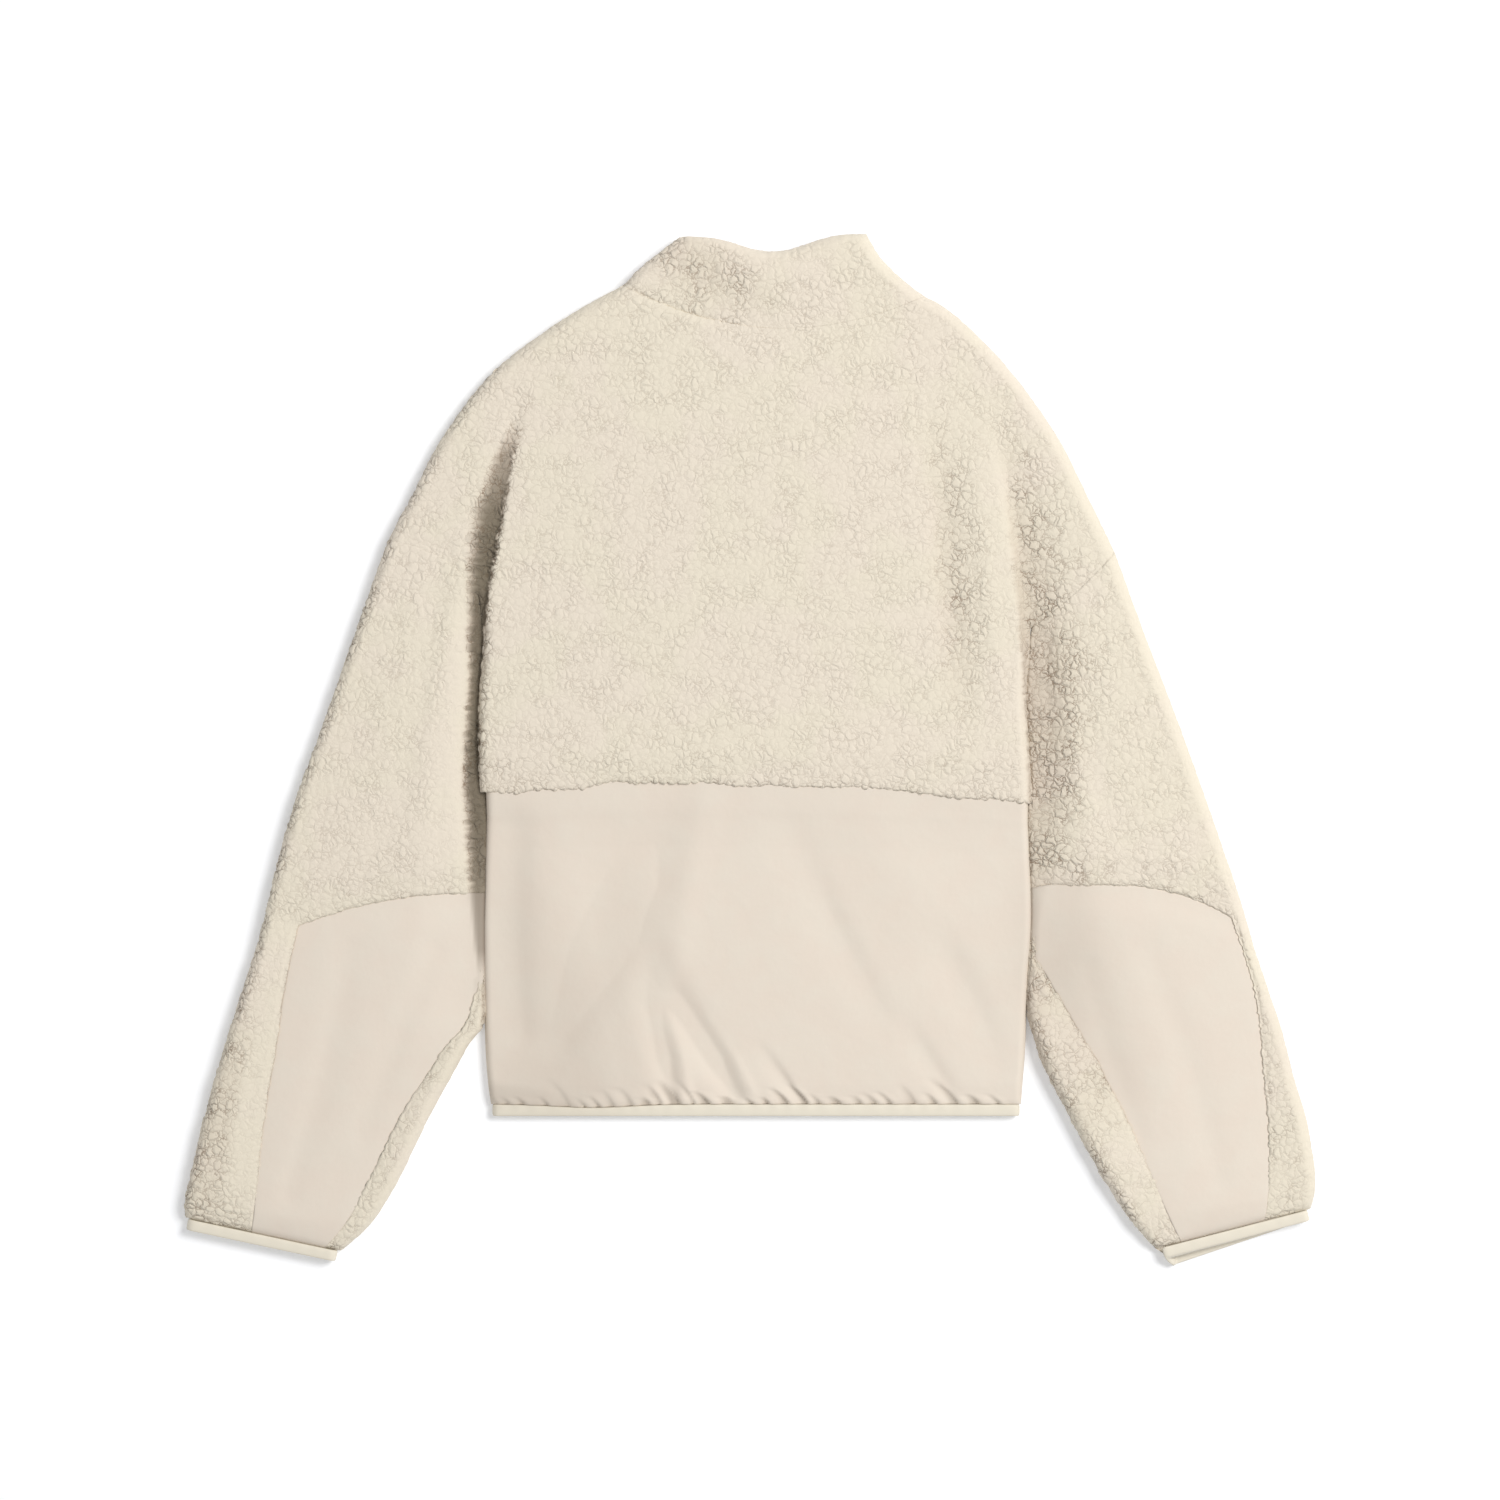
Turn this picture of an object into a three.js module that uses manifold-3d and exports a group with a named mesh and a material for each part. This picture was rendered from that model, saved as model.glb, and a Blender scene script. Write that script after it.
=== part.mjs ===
// A cropped jacket of sherpa fleece with woven lower panels and elbow panels, laid flat with its back up.
// Millimetres. +X runs to the wearer's right, +Y to the collar, +Z up from the surface that it lies on.
// Every cloth piece is a slab between an outer and an inner height, over rows and columns in plan.

import * as THREE from 'three';
import Module from 'manifold-3d';

// ---------------------------------------------------------------- driving sizes

const PILE_WALL = 8; // sherpa fleece with its pile
const WOVEN_WALL = 4; // woven cloth over a thin wadding
const LAYER_GAP = 3; // air between the back layer and the front layer
const SEAM_GAP = 0.3; // between neighbouring pieces
const THINNEST_WALL = 2.2; // where a deep crease squeezes the cloth
const EDGE_RIM = 0.8; // upright part of a folded edge, above and below its middle
const PILE_STACK = 2 * PILE_WALL + LAYER_GAP;
const WOVEN_STACK = 2 * WOVEN_WALL + LAYER_GAP;
const HEM_STACK = 9.5; // both layers and the gap, pinched by the elastic
const HEM_PINCH = 14; // length over which the hem pulls the panels together
const WOVEN_LIFT = PILE_WALL - WOVEN_WALL; // woven cloth is sewn on at the fleece's inner side
const GATHERS = 38; // small gathers along the hem
const GATHER_RISE = 1.1;
const ELBOW_PUFF = 2.2; // rise of an elbow panel's middle

const BINDING_WALL = 2.8;
const HEM_BINDING_WIDTH = 8.6;
const CUFF_BINDING_WIDTH = 8;
const BINDING_STEP = 16;
const BINDING_TURN = 6; // faces round each folded end of a binding

const ZIP_CHANNEL_HALF = 6; // half the space between the front edges
const TAPE_HALF = 15;
const TAPE_THICKNESS = 0.8;
const TEETH_HALF = 2.5;
const TEETH_THICKNESS = 2.2;
const HEM_Y = -265; // where the body panels end and the binding starts
const FRONT_NECK_Y = 255; // lowest point of the front neck seam
const FRONT_COLLAR_TOP_Y = 325;
const CENTRE_AT_HEM = 4.5;
const CENTRE_AT_NECK = 17;

// ---------------------------------------------------------------- colours

const paint = (name, color, roughness, metalness = 0) =>
  new THREE.MeshStandardMaterial({ name, color, roughness, metalness });
const CLOTH = {
  sherpa: paint('sherpa', 0xece4d1, 0.95),
  woven: paint('woven', 0xe5dbcd, 0.7),
  binding: paint('binding', 0xece2d0, 0.8),
  tape: paint('zip_tape', 0xe3d9c8, 0.85),
  zip: paint('zip_metal', 0xc9c2b4, 0.35, 0.8),
};

// ---------------------------------------------------------------- tables: one row for each section

// Back yoke, from its lower seam up to the neck seam. left and right are the row's two ends, and bow lifts
// its middle. foldLeft and foldRight are the armhole creases' places, as fractions of the row. steps is the
// number of rows up to the next section. Rows 4 to 7 run up the armhole seams.
const YOKE = [
  { left: [-202, -29], right: [211, -33], bow: 6, foldLeft: 0.035, foldRight: 0.965, steps: 2 },
  { left: [-204, 5], right: [209, 2], bow: 3, foldLeft: 0.035, foldRight: 0.965, steps: 2 },
  { left: [-203, 45], right: [207, 40], bow: 0, foldLeft: 0.035, foldRight: 0.965, steps: 3 },
  { left: [-200, 85], right: [209, 70], bow: 0, foldLeft: 0.035, foldRight: 0.965, steps: 2 },
  { left: [-203, 115], right: [210, 91], bow: 0, foldLeft: 0.032, foldRight: 0.968, steps: 3 },
  { left: [-222, 138], right: [229, 105], bow: -3, foldLeft: 0.05, foldRight: 0.95, steps: 3 },
  { left: [-246, 151], right: [250, 124], bow: -4, foldLeft: 0.09, foldRight: 0.915, steps: 3 },
  { left: [-271, 157], right: [273, 148], bow: -3, foldLeft: 0.128, foldRight: 0.875, steps: 3 },
  { left: [-253, 191], right: [252, 191], bow: 0, foldLeft: 0.105, foldRight: 0.89, steps: 3 },
  { left: [-229, 236], right: [229, 236], bow: 0, foldLeft: 0.105, foldRight: 0.905, steps: 3 },
  { left: [-194, 281], right: [197, 281], bow: -7, foldLeft: 0.1, foldRight: 0.9, steps: 2 },
  { left: [-151, 315], right: [165, 315], bow: -16, foldLeft: 0.1, foldRight: 0.9, steps: 2 },
  { left: [-117, 336], right: [144, 332], bow: -24, foldLeft: 0.1, foldRight: 0.9, steps: 1 },
  { left: [-96, 347], right: [131, 339], bow: -28.5, foldLeft: 0.1, foldRight: 0.9, steps: 0 },
];
const YOKE_CORNERS = [4, 7];

// Lower back panel, from the yoke seam down to the hem.
const LOWER = [
  { left: [-202, -29], right: [211, -33], bow: 6, steps: 2 },
  { left: [-196.5, -51], right: [207.5, -55], bow: 5, steps: 2 },
  { left: [-198, -75], right: [209.5, -79], bow: 4, steps: 4 },
  { left: [-199.5, -127], right: [211, -127], bow: 2, steps: 4 },
  { left: [-199, -182], right: [208, -178], bow: 1, steps: 4 },
  { left: [-198, -225], right: [206, -225], bow: 0, steps: 2 },
  { left: [-196, HEM_Y + HEM_PINCH], right: [204, HEM_Y + HEM_PINCH], bow: 0, steps: 2 },
  { left: [-194, HEM_Y], right: [203, HEM_Y], bow: 0, steps: 0 },
];
const LIFT_ENDS_AT_ROW = 2;

// Front neck seam, from the centre front to the shoulder. out is counted outwards from the front edge.
const FRONT_NECK = [
  { out: 0, y: FRONT_NECK_Y },
  { out: 34, y: 262 },
  { out: 68, y: 283 },
  { out: 93, y: 311 },
];

// Sleeves, from the armhole seam down to the cuff. outer and inner are the folded edges. seamOut and seamIn
// are the places of the elbow panel's long seams, as fractions of the row from the outer edge. bow lifts the
// row's middle, and stack is the height of the flattened sleeve. The elbow panel starts at row ELBOW_ROW.
const SLEEVE_LEFT = [
  { outer: [-271, 157], inner: [-203, 115], seamOut: 0.2, seamIn: 0.84, bow: 7, stack: 19, steps: 2 },
  { outer: [-295, 90], inner: [-201.8, 78], seamOut: 0.2, seamIn: 0.87, bow: 6, stack: 19, steps: 2 },
  { outer: [-319, 22], inner: [-205, 28], seamOut: 0.2, seamIn: 0.9, bow: 4, stack: 19, steps: 2 },
  { outer: [-343, -45], inner: [-204.2, -25], seamOut: 0.2, seamIn: 0.92, bow: 5, stack: 19, steps: 2 },
  { outer: [-359, -105], inner: [-199.8, -75], seamOut: 0.2, seamIn: 0.96, bow: 9, stack: 19, steps: 2 },
  { outer: [-369, -146], inner: [-200.4, -107], seamOut: 0.19, seamIn: 0.976, bow: 12, stack: 19, steps: 1 },
  { outer: [-376, -167], inner: [-201, -135], seamOut: 0.187, seamIn: 0.976, bow: 9, stack: 19, steps: 2 },
  { outer: [-387, -200], inner: [-200.8, -167], seamOut: 0.2, seamIn: 0.972, bow: 7, stack: 19, steps: 2 },
  { outer: [-396, -230], inner: [-201.5, -201], seamOut: 0.213, seamIn: 0.94, bow: 5, stack: 19, steps: 2 },
  { outer: [-407, -268], inner: [-215, -229], seamOut: 0.243, seamIn: 0.907, bow: 4, stack: 19, steps: 2 },
  { outer: [-415, -300], inner: [-240, -275], seamOut: 0.28, seamIn: 0.874, bow: 2, stack: 19, steps: 2 },
  { outer: [-421, -326], inner: [-264, -324], seamOut: 0.33, seamIn: 0.866, bow: 0, stack: 18, steps: 1 },
  { outer: [-424, -339], inner: [-284, -355], seamOut: 0.38, seamIn: 0.875, bow: 0, stack: 16, steps: 2 },
  { outer: [-423, -350], inner: [-306, -375], seamOut: 0.43, seamIn: 0.9, bow: 0, stack: 12, steps: 0 },
];
const SLEEVE_RIGHT = [
  { outer: [273, 148], inner: [210, 91], seamOut: 0.2, seamIn: 0.84, bow: -2, stack: 19, steps: 2 },
  { outer: [294, 90], inner: [210.4, 66], seamOut: 0.18, seamIn: 0.87, bow: 2, stack: 19, steps: 2 },
  { outer: [320, 22], inner: [209.6, 20], seamOut: 0.15, seamIn: 0.9, bow: 4, stack: 19, steps: 2 },
  { outer: [344, -45], inner: [212.4, -30], seamOut: 0.12, seamIn: 0.92, bow: 8, stack: 19, steps: 2 },
  { outer: [363, -100], inner: [210.9, -75], seamOut: 0.1, seamIn: 0.96, bow: 15, stack: 19, steps: 2 },
  { outer: [373, -133], inner: [211.9, -112], seamOut: 0.08, seamIn: 0.975, bow: 21, stack: 19, steps: 1 },
  { outer: [379, -153], inner: [212, -134], seamOut: 0.062, seamIn: 0.975, bow: 14, stack: 19, steps: 2 },
  { outer: [388, -180], inner: [210.8, -157], seamOut: 0.062, seamIn: 0.965, bow: 9, stack: 19, steps: 2 },
  { outer: [398, -210], inner: [209.2, -190], seamOut: 0.085, seamIn: 0.872, bow: 5, stack: 19, steps: 2 },
  { outer: [407, -245], inner: [217, -232], seamOut: 0.116, seamIn: 0.78, bow: 3, stack: 19, steps: 2 },
  { outer: [416, -275], inner: [238, -274], seamOut: 0.157, seamIn: 0.77, bow: 2, stack: 19, steps: 2 },
  { outer: [422, -308], inner: [262, -318], seamOut: 0.206, seamIn: 0.775, bow: 0, stack: 18, steps: 1 },
  { outer: [423, -328], inner: [284, -352], seamOut: 0.26, seamIn: 0.8, bow: 0, stack: 16, steps: 2 },
  { outer: [420, -343], inner: [303, -373], seamOut: 0.3, seamIn: 0.84, bow: 0, stack: 12, steps: 0 },
];
const ELBOW_ROW = 5;
const TOP_COLUMNS = [1, 7, 1]; // of the outer strip, the elbow panel and the inner strip

// The right cuff's mouth is a little open: its under layer reaches further at the inner end, and sinks by
// MOUTH_SLOPE for each millimetre that it reaches out.
const CUFF_MOUTH = { left: { inner: [0, 0], outer: [0, 0] }, right: { inner: [9, -6], outer: [-1, 0] } };
const MOUTH_SLOPE = 0.08;

// Back collar, from the neck seam to its free upper edge. drop lowers the rounded upper edge.
const COLLAR = [
  { left: [-96, 347], right: [131, 339], bow: -28.5, drop: 0, steps: 2 },
  { left: [-82, 361], right: [114, 352], bow: -23, drop: 0, steps: 2 },
  { left: [-66, 374], right: [98, 368], bow: -17, drop: 0, steps: 1 },
  { left: [-58, 380], right: [91, 379], bow: -14, drop: 0.6, steps: 1 },
  { left: [-53, 384], right: [87, 386], bow: -12, drop: 3.5, steps: 0 },
];
const COLLAR_PUFF = 3;

// Creases of the back layer. Each is a line of stations: x and y on the cloth, half its width, and its rise.
const CREASES = {
  body: [
    { x: -172, y: 262, half: 9, rise: -0.5 },
    { x: -182, y: 236, half: 8, rise: -3.5 },
    { x: -193, y: 205, half: 7.5, rise: -7 },
    { x: -199, y: 170, half: 7.5, rise: -8 },
    { x: -203, y: 128, half: 7.5, rise: -8 },
    null,
    { x: 196, y: 232, half: 14, rise: -0.5 },
    { x: 204, y: 190, half: 14, rise: -3 },
    { x: 211, y: 145, half: 13, rise: -5 },
    { x: 214, y: 100, half: 13, rise: -6.5 },
    { x: 215, y: 50, half: 13, rise: -5.5 },
    { x: 216, y: -10, half: 12, rise: -3 },
    null,
    { x: 140, y: 236, half: 11, rise: -0.5 },
    { x: 148, y: 161, half: 11, rise: -2.5 },
    { x: 160, y: 90, half: 10, rise: -2.5 },
    { x: 168, y: 35, half: 9, rise: -0.5 },
    null,
    { x: 176, y: 212, half: 9, rise: 0.5 },
    { x: 187, y: 104, half: 9, rise: 1.6 },
    { x: 195, y: 30, half: 9, rise: 0.5 },
  ],
  lower: [
    { x: -62, y: -36, half: 20, rise: -1 },
    { x: -84, y: -97, half: 22, rise: -2.4 },
    { x: -112, y: -157, half: 22, rise: -2.4 },
    { x: -142, y: -212, half: 18, rise: -1 },
    null,
    { x: -38, y: -40, half: 13, rise: 1.2 },
    { x: -60, y: -157, half: 13, rise: 1.2 },
    null,
    { x: 30, y: -60, half: 12, rise: -0.6 },
    { x: 62, y: -128, half: 12, rise: -1.4 },
    { x: 97, y: -195, half: 10, rise: -0.6 },
    null,
    { x: -64, y: -176, half: 7, rise: -0.8 },
    { x: -45, y: -236, half: 7, rise: -1.6 },
    null,
    { x: -37, y: -168, half: 8, rise: -0.6 },
    { x: -7, y: -226, half: 7, rise: -1.8 },
    { x: 10, y: -256, half: 6, rise: -1 },
    null,
    { x: 142, y: -150, half: 9, rise: -1.2 },
    { x: 176, y: -195, half: 9, rise: -0.6 },
    null,
    { x: 150, y: -217, half: 8, rise: -1.2 },
    { x: 176, y: -249, half: 8, rise: -0.8 },
    null,
    { x: 92, y: -60, half: 26, rise: 0.9 },
    { x: 128, y: -120, half: 26, rise: 0.9 },
  ],
  sleeve: [
    { x: -300, y: -150, half: 12, rise: -0.8 },
    { x: -318, y: -240, half: 13, rise: -1.4 },
    { x: -345, y: -330, half: 10, rise: -0.8 },
    null,
    { x: 296, y: -150, half: 12, rise: -0.8 },
    { x: 330, y: -240, half: 13, rise: -1.2 },
    { x: 350, y: -320, half: 10, rise: -0.8 },
  ],
  collar: [
    { x: -38, y: 384, half: 11, rise: -1.5 },
    { x: -14, y: 364, half: 13, rise: -3 },
    { x: 22, y: 356, half: 11, rise: -2 },
    { x: 58, y: 338, half: 9, rise: -1 },
  ],
};

// ---------------------------------------------------------------- lines in plan

const mix = (a, b, t) => a + (b - a) * t;
const centreX = (y) => mix(CENTRE_AT_HEM, CENTRE_AT_NECK, (y - HEM_Y) / (FRONT_COLLAR_TOP_Y - HEM_Y));

/** A smooth line through table points, read by row number, with sharp corners at the given rows. */
function rail(points, corners = []) {
  const stops = [0, ...corners, points.length - 1];
  const pieces = stops.slice(1).map((stop, i) => {
    const part = points.slice(stops[i], stop + 1).map(([x, y]) => new THREE.Vector2(x, y));
    return new THREE.SplineCurve(part);
  });
  return (row) => {
    const i = Math.min(stops.filter((stop) => stop <= row).length, pieces.length) - 1;
    return pieces[i].getPoint((row - stops[i]) / (stops[i + 1] - stops[i]));
  };
}

/** Row numbers with the table's own steps between sections; thin keeps every so many of them. */
function rowNumbers(table, thin = 1) {
  const rows = [];
  table.forEach((section, i) => {
    const steps = Math.max(1, Math.round(section.steps / thin));
    for (let s = 0; s < steps; s += 1) rows.push(i + s / steps);
  });
  return rows.filter((row) => row <= table.length - 1);
}

/** A table column read at any row number. */
function column(table, name) {
  return (row) => {
    const i = Math.min(Math.floor(row), table.length - 2);
    return mix(table[i][name], table[i + 1][name], row - i);
  };
}

/** The point at a fraction of a bowed row between two ends. */
function across(start, end, bow, f) {
  const length = start.distanceTo(end);
  const lift = (4 * f * (1 - f) * bow) / length;
  const side = end.x > start.x ? 1 : -1;
  const x = mix(start.x, end.x, f) - side * (end.y - start.y) * lift;
  const y = mix(start.y, end.y, f) + side * (end.x - start.x) * lift;
  return new THREE.Vector2(x, y);
}

/** The nearest place on a line of points: its distance, and the segment and fraction there. */
function nearest(line, x, y) {
  let best = { distance: Infinity, index: 0, f: 0 };
  for (let i = 0; i < line.length - 1; i += 1) {
    const [a, b] = [line[i], line[i + 1]];
    if (!a || !b) continue;
    const [dx, dy] = [b.x - a.x, b.y - a.y];
    const f = THREE.MathUtils.clamp(((x - a.x) * dx + (y - a.y) * dy) / (dx * dx + dy * dy), 0, 1);
    const distance = Math.hypot(x - a.x - f * dx, y - a.y - f * dy);
    if (distance < best.distance) best = { distance, index: i, f };
  }
  return best;
}

/** Sum of a set of creases at a point: each chain of stations gives a soft trough or ridge. */
function creaseRise(stations, x, y) {
  const chains = [[]];
  stations.forEach((station) => (station ? chains.at(-1).push(station) : chains.push([])));
  return chains.reduce((sum, chain) => {
    const { distance, index, f } = nearest(chain, x, y);
    const half = mix(chain[index].half, chain[index + 1].half, f);
    const rise = mix(chain[index].rise, chain[index + 1].rise, f);
    return sum + rise * Math.exp(-((distance / half) ** 2));
  }, 0);
}

const sample = (line, first, last, count) =>
  Array.from({ length: count + 1 }, (_, i) => line(mix(first, last, i / count)));

// ---------------------------------------------------------------- slabs of cloth

const ROLL_COLUMNS = [0, 1.5, 4.5, 9.5]; // distances of the first columns from a folded edge
const ROLL_ROOM = 10.5;

/** Fractions of a row: close columns at both folded ends, and even ones up to each cut between them. */
function fractions(length, cuts, counts) {
  const leftScale = Math.min(1, (cuts[0] * length) / ROLL_ROOM) / length;
  const rightScale = Math.min(1, ((1 - cuts.at(-1)) * length) / ROLL_ROOM) / length;
  const left = ROLL_COLUMNS.map((d) => d * leftScale);
  const right = ROLL_COLUMNS.map((d) => 1 - d * rightScale).reverse();
  const stops = [left.at(-1), ...cuts, right[0]];
  const middle = counts.flatMap((count, i) =>
    Array.from({ length: count }, (_, k) => mix(stops[i], stops[i + 1], (k + 1) / count)));
  return [...left, ...middle.slice(0, -1), ...right];
}

/** Turns rows of plan points into points and triangles; rows may differ in their number of points. */
function weave(rows, keeps = () => true) {
  const points = rows.flat();
  const starts = rows.map((_, r) => rows.slice(0, r).reduce((sum, row) => sum + row.length, 0));
  const triangles = [];
  for (let r = 0; r < rows.length - 1; r += 1) {
    const [low, high] = [rows[r], rows[r + 1]];
    const even = low.length === high.length;
    let [i, j] = [0, 0];
    while (i < low.length - 1 || j < high.length - 1) {
      const nearer = even ? i <= j : (low[i + 1] ?? low.at(-1)).f <= (high[j + 1] ?? high.at(-1)).f;
      const stepLow = i < low.length - 1 && (j === high.length - 1 || nearer);
      const [a, b] = [starts[r] + i, starts[r + 1] + j];
      if (keeps(r, Math.min(i, j))) triangles.push([a, stepLow ? a + 1 : b + 1, b]);
      if (stepLow) i += 1;
      else j += 1;
    }
  }
  return { points, triangles };
}

/** Moves the rim of a plan inwards by half a seam gap. Triangles must run anticlockwise. */
function insetRim({ points, triangles }) {
  const edges = new Map();
  triangles.forEach(([a, b, c]) => {
    [[a, b], [b, c], [c, a]].forEach(([p, q]) => edges.set(`${p},${q}`, [p, q]));
  });
  const rim = [...edges.values()].filter(([p, q]) => !edges.has(`${q},${p}`));
  const shifts = new Map();
  rim.forEach(([p, q]) => {
    const [dx, dy] = [points[q].x - points[p].x, points[q].y - points[p].y];
    const length = Math.hypot(dx, dy);
    [p, q].forEach((k) => {
      if (!shifts.has(k)) shifts.set(k, []);
      shifts.get(k).push([-dy / length, dx / length]);
    });
  });
  shifts.forEach((normals, k) => {
    const sum = normals.reduce(([x, y], [u, v]) => [x + u, y + v], [0, 0]);
    const size = Math.max(sum[0] ** 2 + sum[1] ** 2, 0.7);
    const reach = (SEAM_GAP / 2) * (2 / size);
    points[k].x += sum[0] * reach;
    points[k].y += sum[1] * reach;
  });
  return rim;
}

/** One closed piece of cloth over a plan, between the heights that heights(point) gives. */
function slab(name, material, plan) {
  const { points, triangles } = plan;
  const first = triangles[0].map((k) => points[k]);
  const turn = (first[1].x - first[0].x) * (first[2].y - first[0].y)
    - (first[1].y - first[0].y) * (first[2].x - first[0].x);
  if (turn < 0) triangles.forEach((triangle) => triangle.reverse());
  const rim = insetRim(plan);
  const positions = [];
  const put = (k, level) => positions.push(points[k].x, points[k].y, points[k][level]);
  triangles.forEach(([a, b, c]) => {
    [a, b, c].forEach((k) => put(k, 'top'));
    [a, c, b].forEach((k) => put(k, 'bottom'));
  });
  rim.forEach(([p, q]) => {
    [[p, 'bottom'], [q, 'bottom'], [q, 'top']].forEach(([k, level]) => put(k, level));
    [[p, 'bottom'], [q, 'top'], [p, 'top']].forEach(([k, level]) => put(k, level));
  });
  const geometry = new THREE.BufferGeometry();
  geometry.setAttribute('position', new THREE.Float32BufferAttribute(positions, 3));
  geometry.computeVertexNormals();
  return named(name, geometry, material);
}

function named(name, geometry, material) {
  const mesh = new THREE.Mesh(geometry, material);
  mesh.name = name;
  return mesh;
}

/** Height profile of a cloth that folds over at an edge: 0 at the edge, 1 beyond its reach. */
const overFold = (distance, reach) => (distance >= reach ? 1 : Math.sqrt(1 - (1 - distance / reach) ** 2));

/** Heights of the back layer at a point. */
function backLayer({ distance, stack, lift = 0, wall, rise = 0 }) {
  const middle = lift + stack / 2;
  const room = Math.min(LAYER_GAP, stack - 2 * THINNEST_WALL) / 2;
  const cloth = Math.min(wall, stack / 2 - room);
  const round = overFold(distance, stack / 2);
  const edge = middle + SEAM_GAP / 2 + EDGE_RIM;
  const top = edge + (middle + room + cloth + rise - edge) * round;
  const inside = distance < cloth ? SEAM_GAP / 2 : mix(SEAM_GAP / 2, room, overFold(distance - cloth, room));
  const floor = middle - (distance < cloth ? -SEAM_GAP / 2 : room - SEAM_GAP);
  const raised = Math.max(rise, 0) * 0.5 * (distance < cloth ? 0 : 1);
  const bottom = Math.max(floor, Math.min(middle + inside + raised, top - THINNEST_WALL * round));
  return { top, bottom };
}

/** Heights of the front layer, which lies on the surface. */
function frontLayer({ distance, stack, lift = 0, wall }) {
  const middle = lift + stack / 2;
  const room = Math.min(LAYER_GAP, stack - 2 * THINNEST_WALL) / 2;
  const cloth = Math.min(wall, stack / 2 - room);
  const round = overFold(distance, stack / 2);
  const inside = distance < cloth ? SEAM_GAP / 2 : mix(SEAM_GAP / 2, room, overFold(distance - cloth, room));
  const edge = middle - SEAM_GAP / 2 - EDGE_RIM;
  const low = middle - room - cloth;
  return { top: middle - inside, bottom: edge + (low - edge) * round };
}

// ---------------------------------------------------------------- body

const yokeLeft = rail(YOKE.map((row) => row.left), YOKE_CORNERS);
const yokeRight = rail(YOKE.map((row) => row.right), YOKE_CORNERS);
const lowerLeft = rail(LOWER.map((row) => row.left), [1]);
const lowerRight = rail(LOWER.map((row) => row.right), [1]);
const [ARMPIT_ROW, NOTCH_ROW] = YOKE_CORNERS;
const NECK_ROW = YOKE.length - 1;

const bodyFolds = {
  left: [sample(yokeLeft, 0, ARMPIT_ROW, 12), sample(yokeLeft, NOTCH_ROW, NECK_ROW, 16)],
  right: [sample(yokeRight, 0, ARMPIT_ROW, 12), sample(yokeRight, NOTCH_ROW, NECK_ROW, 16)],
};
const lowerFolds = [sample(lowerLeft, 0, LOWER.length - 1, 20), sample(lowerRight, 0, LOWER.length - 1, 20)];
const toFold = (lines, p) => Math.min(...lines.map((line) => nearest(line, p.x, p.y).distance));

/** Stack height and lift of the woven lower panels at a row of their table. */
function lowerSection(row) {
  const pinch = THREE.MathUtils.clamp(row - (LOWER.length - 2), 0, 1);
  const lift = WOVEN_LIFT * Math.max(0, 1 - row / LIFT_ENDS_AT_ROW);
  return { stack: mix(WOVEN_STACK, HEM_STACK, pinch), lift };
}

function makeYoke() {
  const folds = [...bodyFolds.left, ...bodyFolds.right];
  const rows = rowNumbers(YOKE).map((row) => {
    const [start, end] = [yokeLeft(row), yokeRight(row)];
    const cuts = [column(YOKE, 'foldLeft')(row), column(YOKE, 'foldRight')(row)];
    return fractions(start.distanceTo(end), cuts, [2, 15, 2]).map((f) => {
      const p = across(start, end, column(YOKE, 'bow')(row), f);
      const rise = creaseRise(CREASES.body, p.x, p.y);
      const heights = backLayer({ distance: toFold(folds, p), stack: 19, wall: PILE_WALL, rise });
      return Object.assign(p, heights, { f });
    });
  });
  return slab('yoke_back', CLOTH.sherpa, weave(rows));
}

function makeLowerBack() {
  const gathersFrom = LOWER.length - 2;
  const rows = rowNumbers(LOWER).map((row) => {
    const [start, end] = [lowerLeft(row), lowerRight(row)];
    const length = start.distanceTo(end);
    const gathered = THREE.MathUtils.clamp(row - gathersFrom, 0, 1);
    const count = gathered > 0 ? 2 * GATHERS : 22;
    const { stack, lift } = lowerSection(row);
    return fractions(length, [0.5], [count / 2, count / 2]).map((f) => {
      const p = across(start, end, column(LOWER, 'bow')(row), f);
      const wave = GATHER_RISE * gathered * (1 - 0.5 * gathered) * Math.cos(2 * Math.PI * GATHERS * f);
      const rise = creaseRise(CREASES.lower, p.x, p.y) * (1 - gathered) + wave;
      const heights = backLayer({ distance: toFold(lowerFolds, p), stack, lift, wall: WOVEN_WALL, rise });
      return Object.assign(p, heights, { f });
    });
  });
  return slab('lower_back', CLOTH.woven, weave(rows));
}

const NECK_FROM_ROW = 9; // row of the yoke's table where the front neck seam starts
const FRONT_ROWS = rowNumbers(YOKE).filter((row) => row >= ARMPIT_ROW || Number.isInteger(row));

/** A front half's inner end, by yoke row: up the centre front, then along the front neck seam. */
function frontInner(side) {
  const edge = (y) => centreX(y) + side * ZIP_CHANNEL_HALF;
  const upright = YOKE.slice(0, NECK_FROM_ROW).map(({ left, right }) => {
    const y = (left[1] + right[1]) / 2;
    return [edge(y), y];
  });
  const neck = FRONT_NECK.map(({ out, y }) => [edge(FRONT_NECK_Y) + side * out, y]);
  const shoulder = YOKE[NECK_ROW][side < 0 ? 'left' : 'right'];
  return rail([...upright, ...neck, shoulder], [NECK_FROM_ROW]);
}

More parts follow.
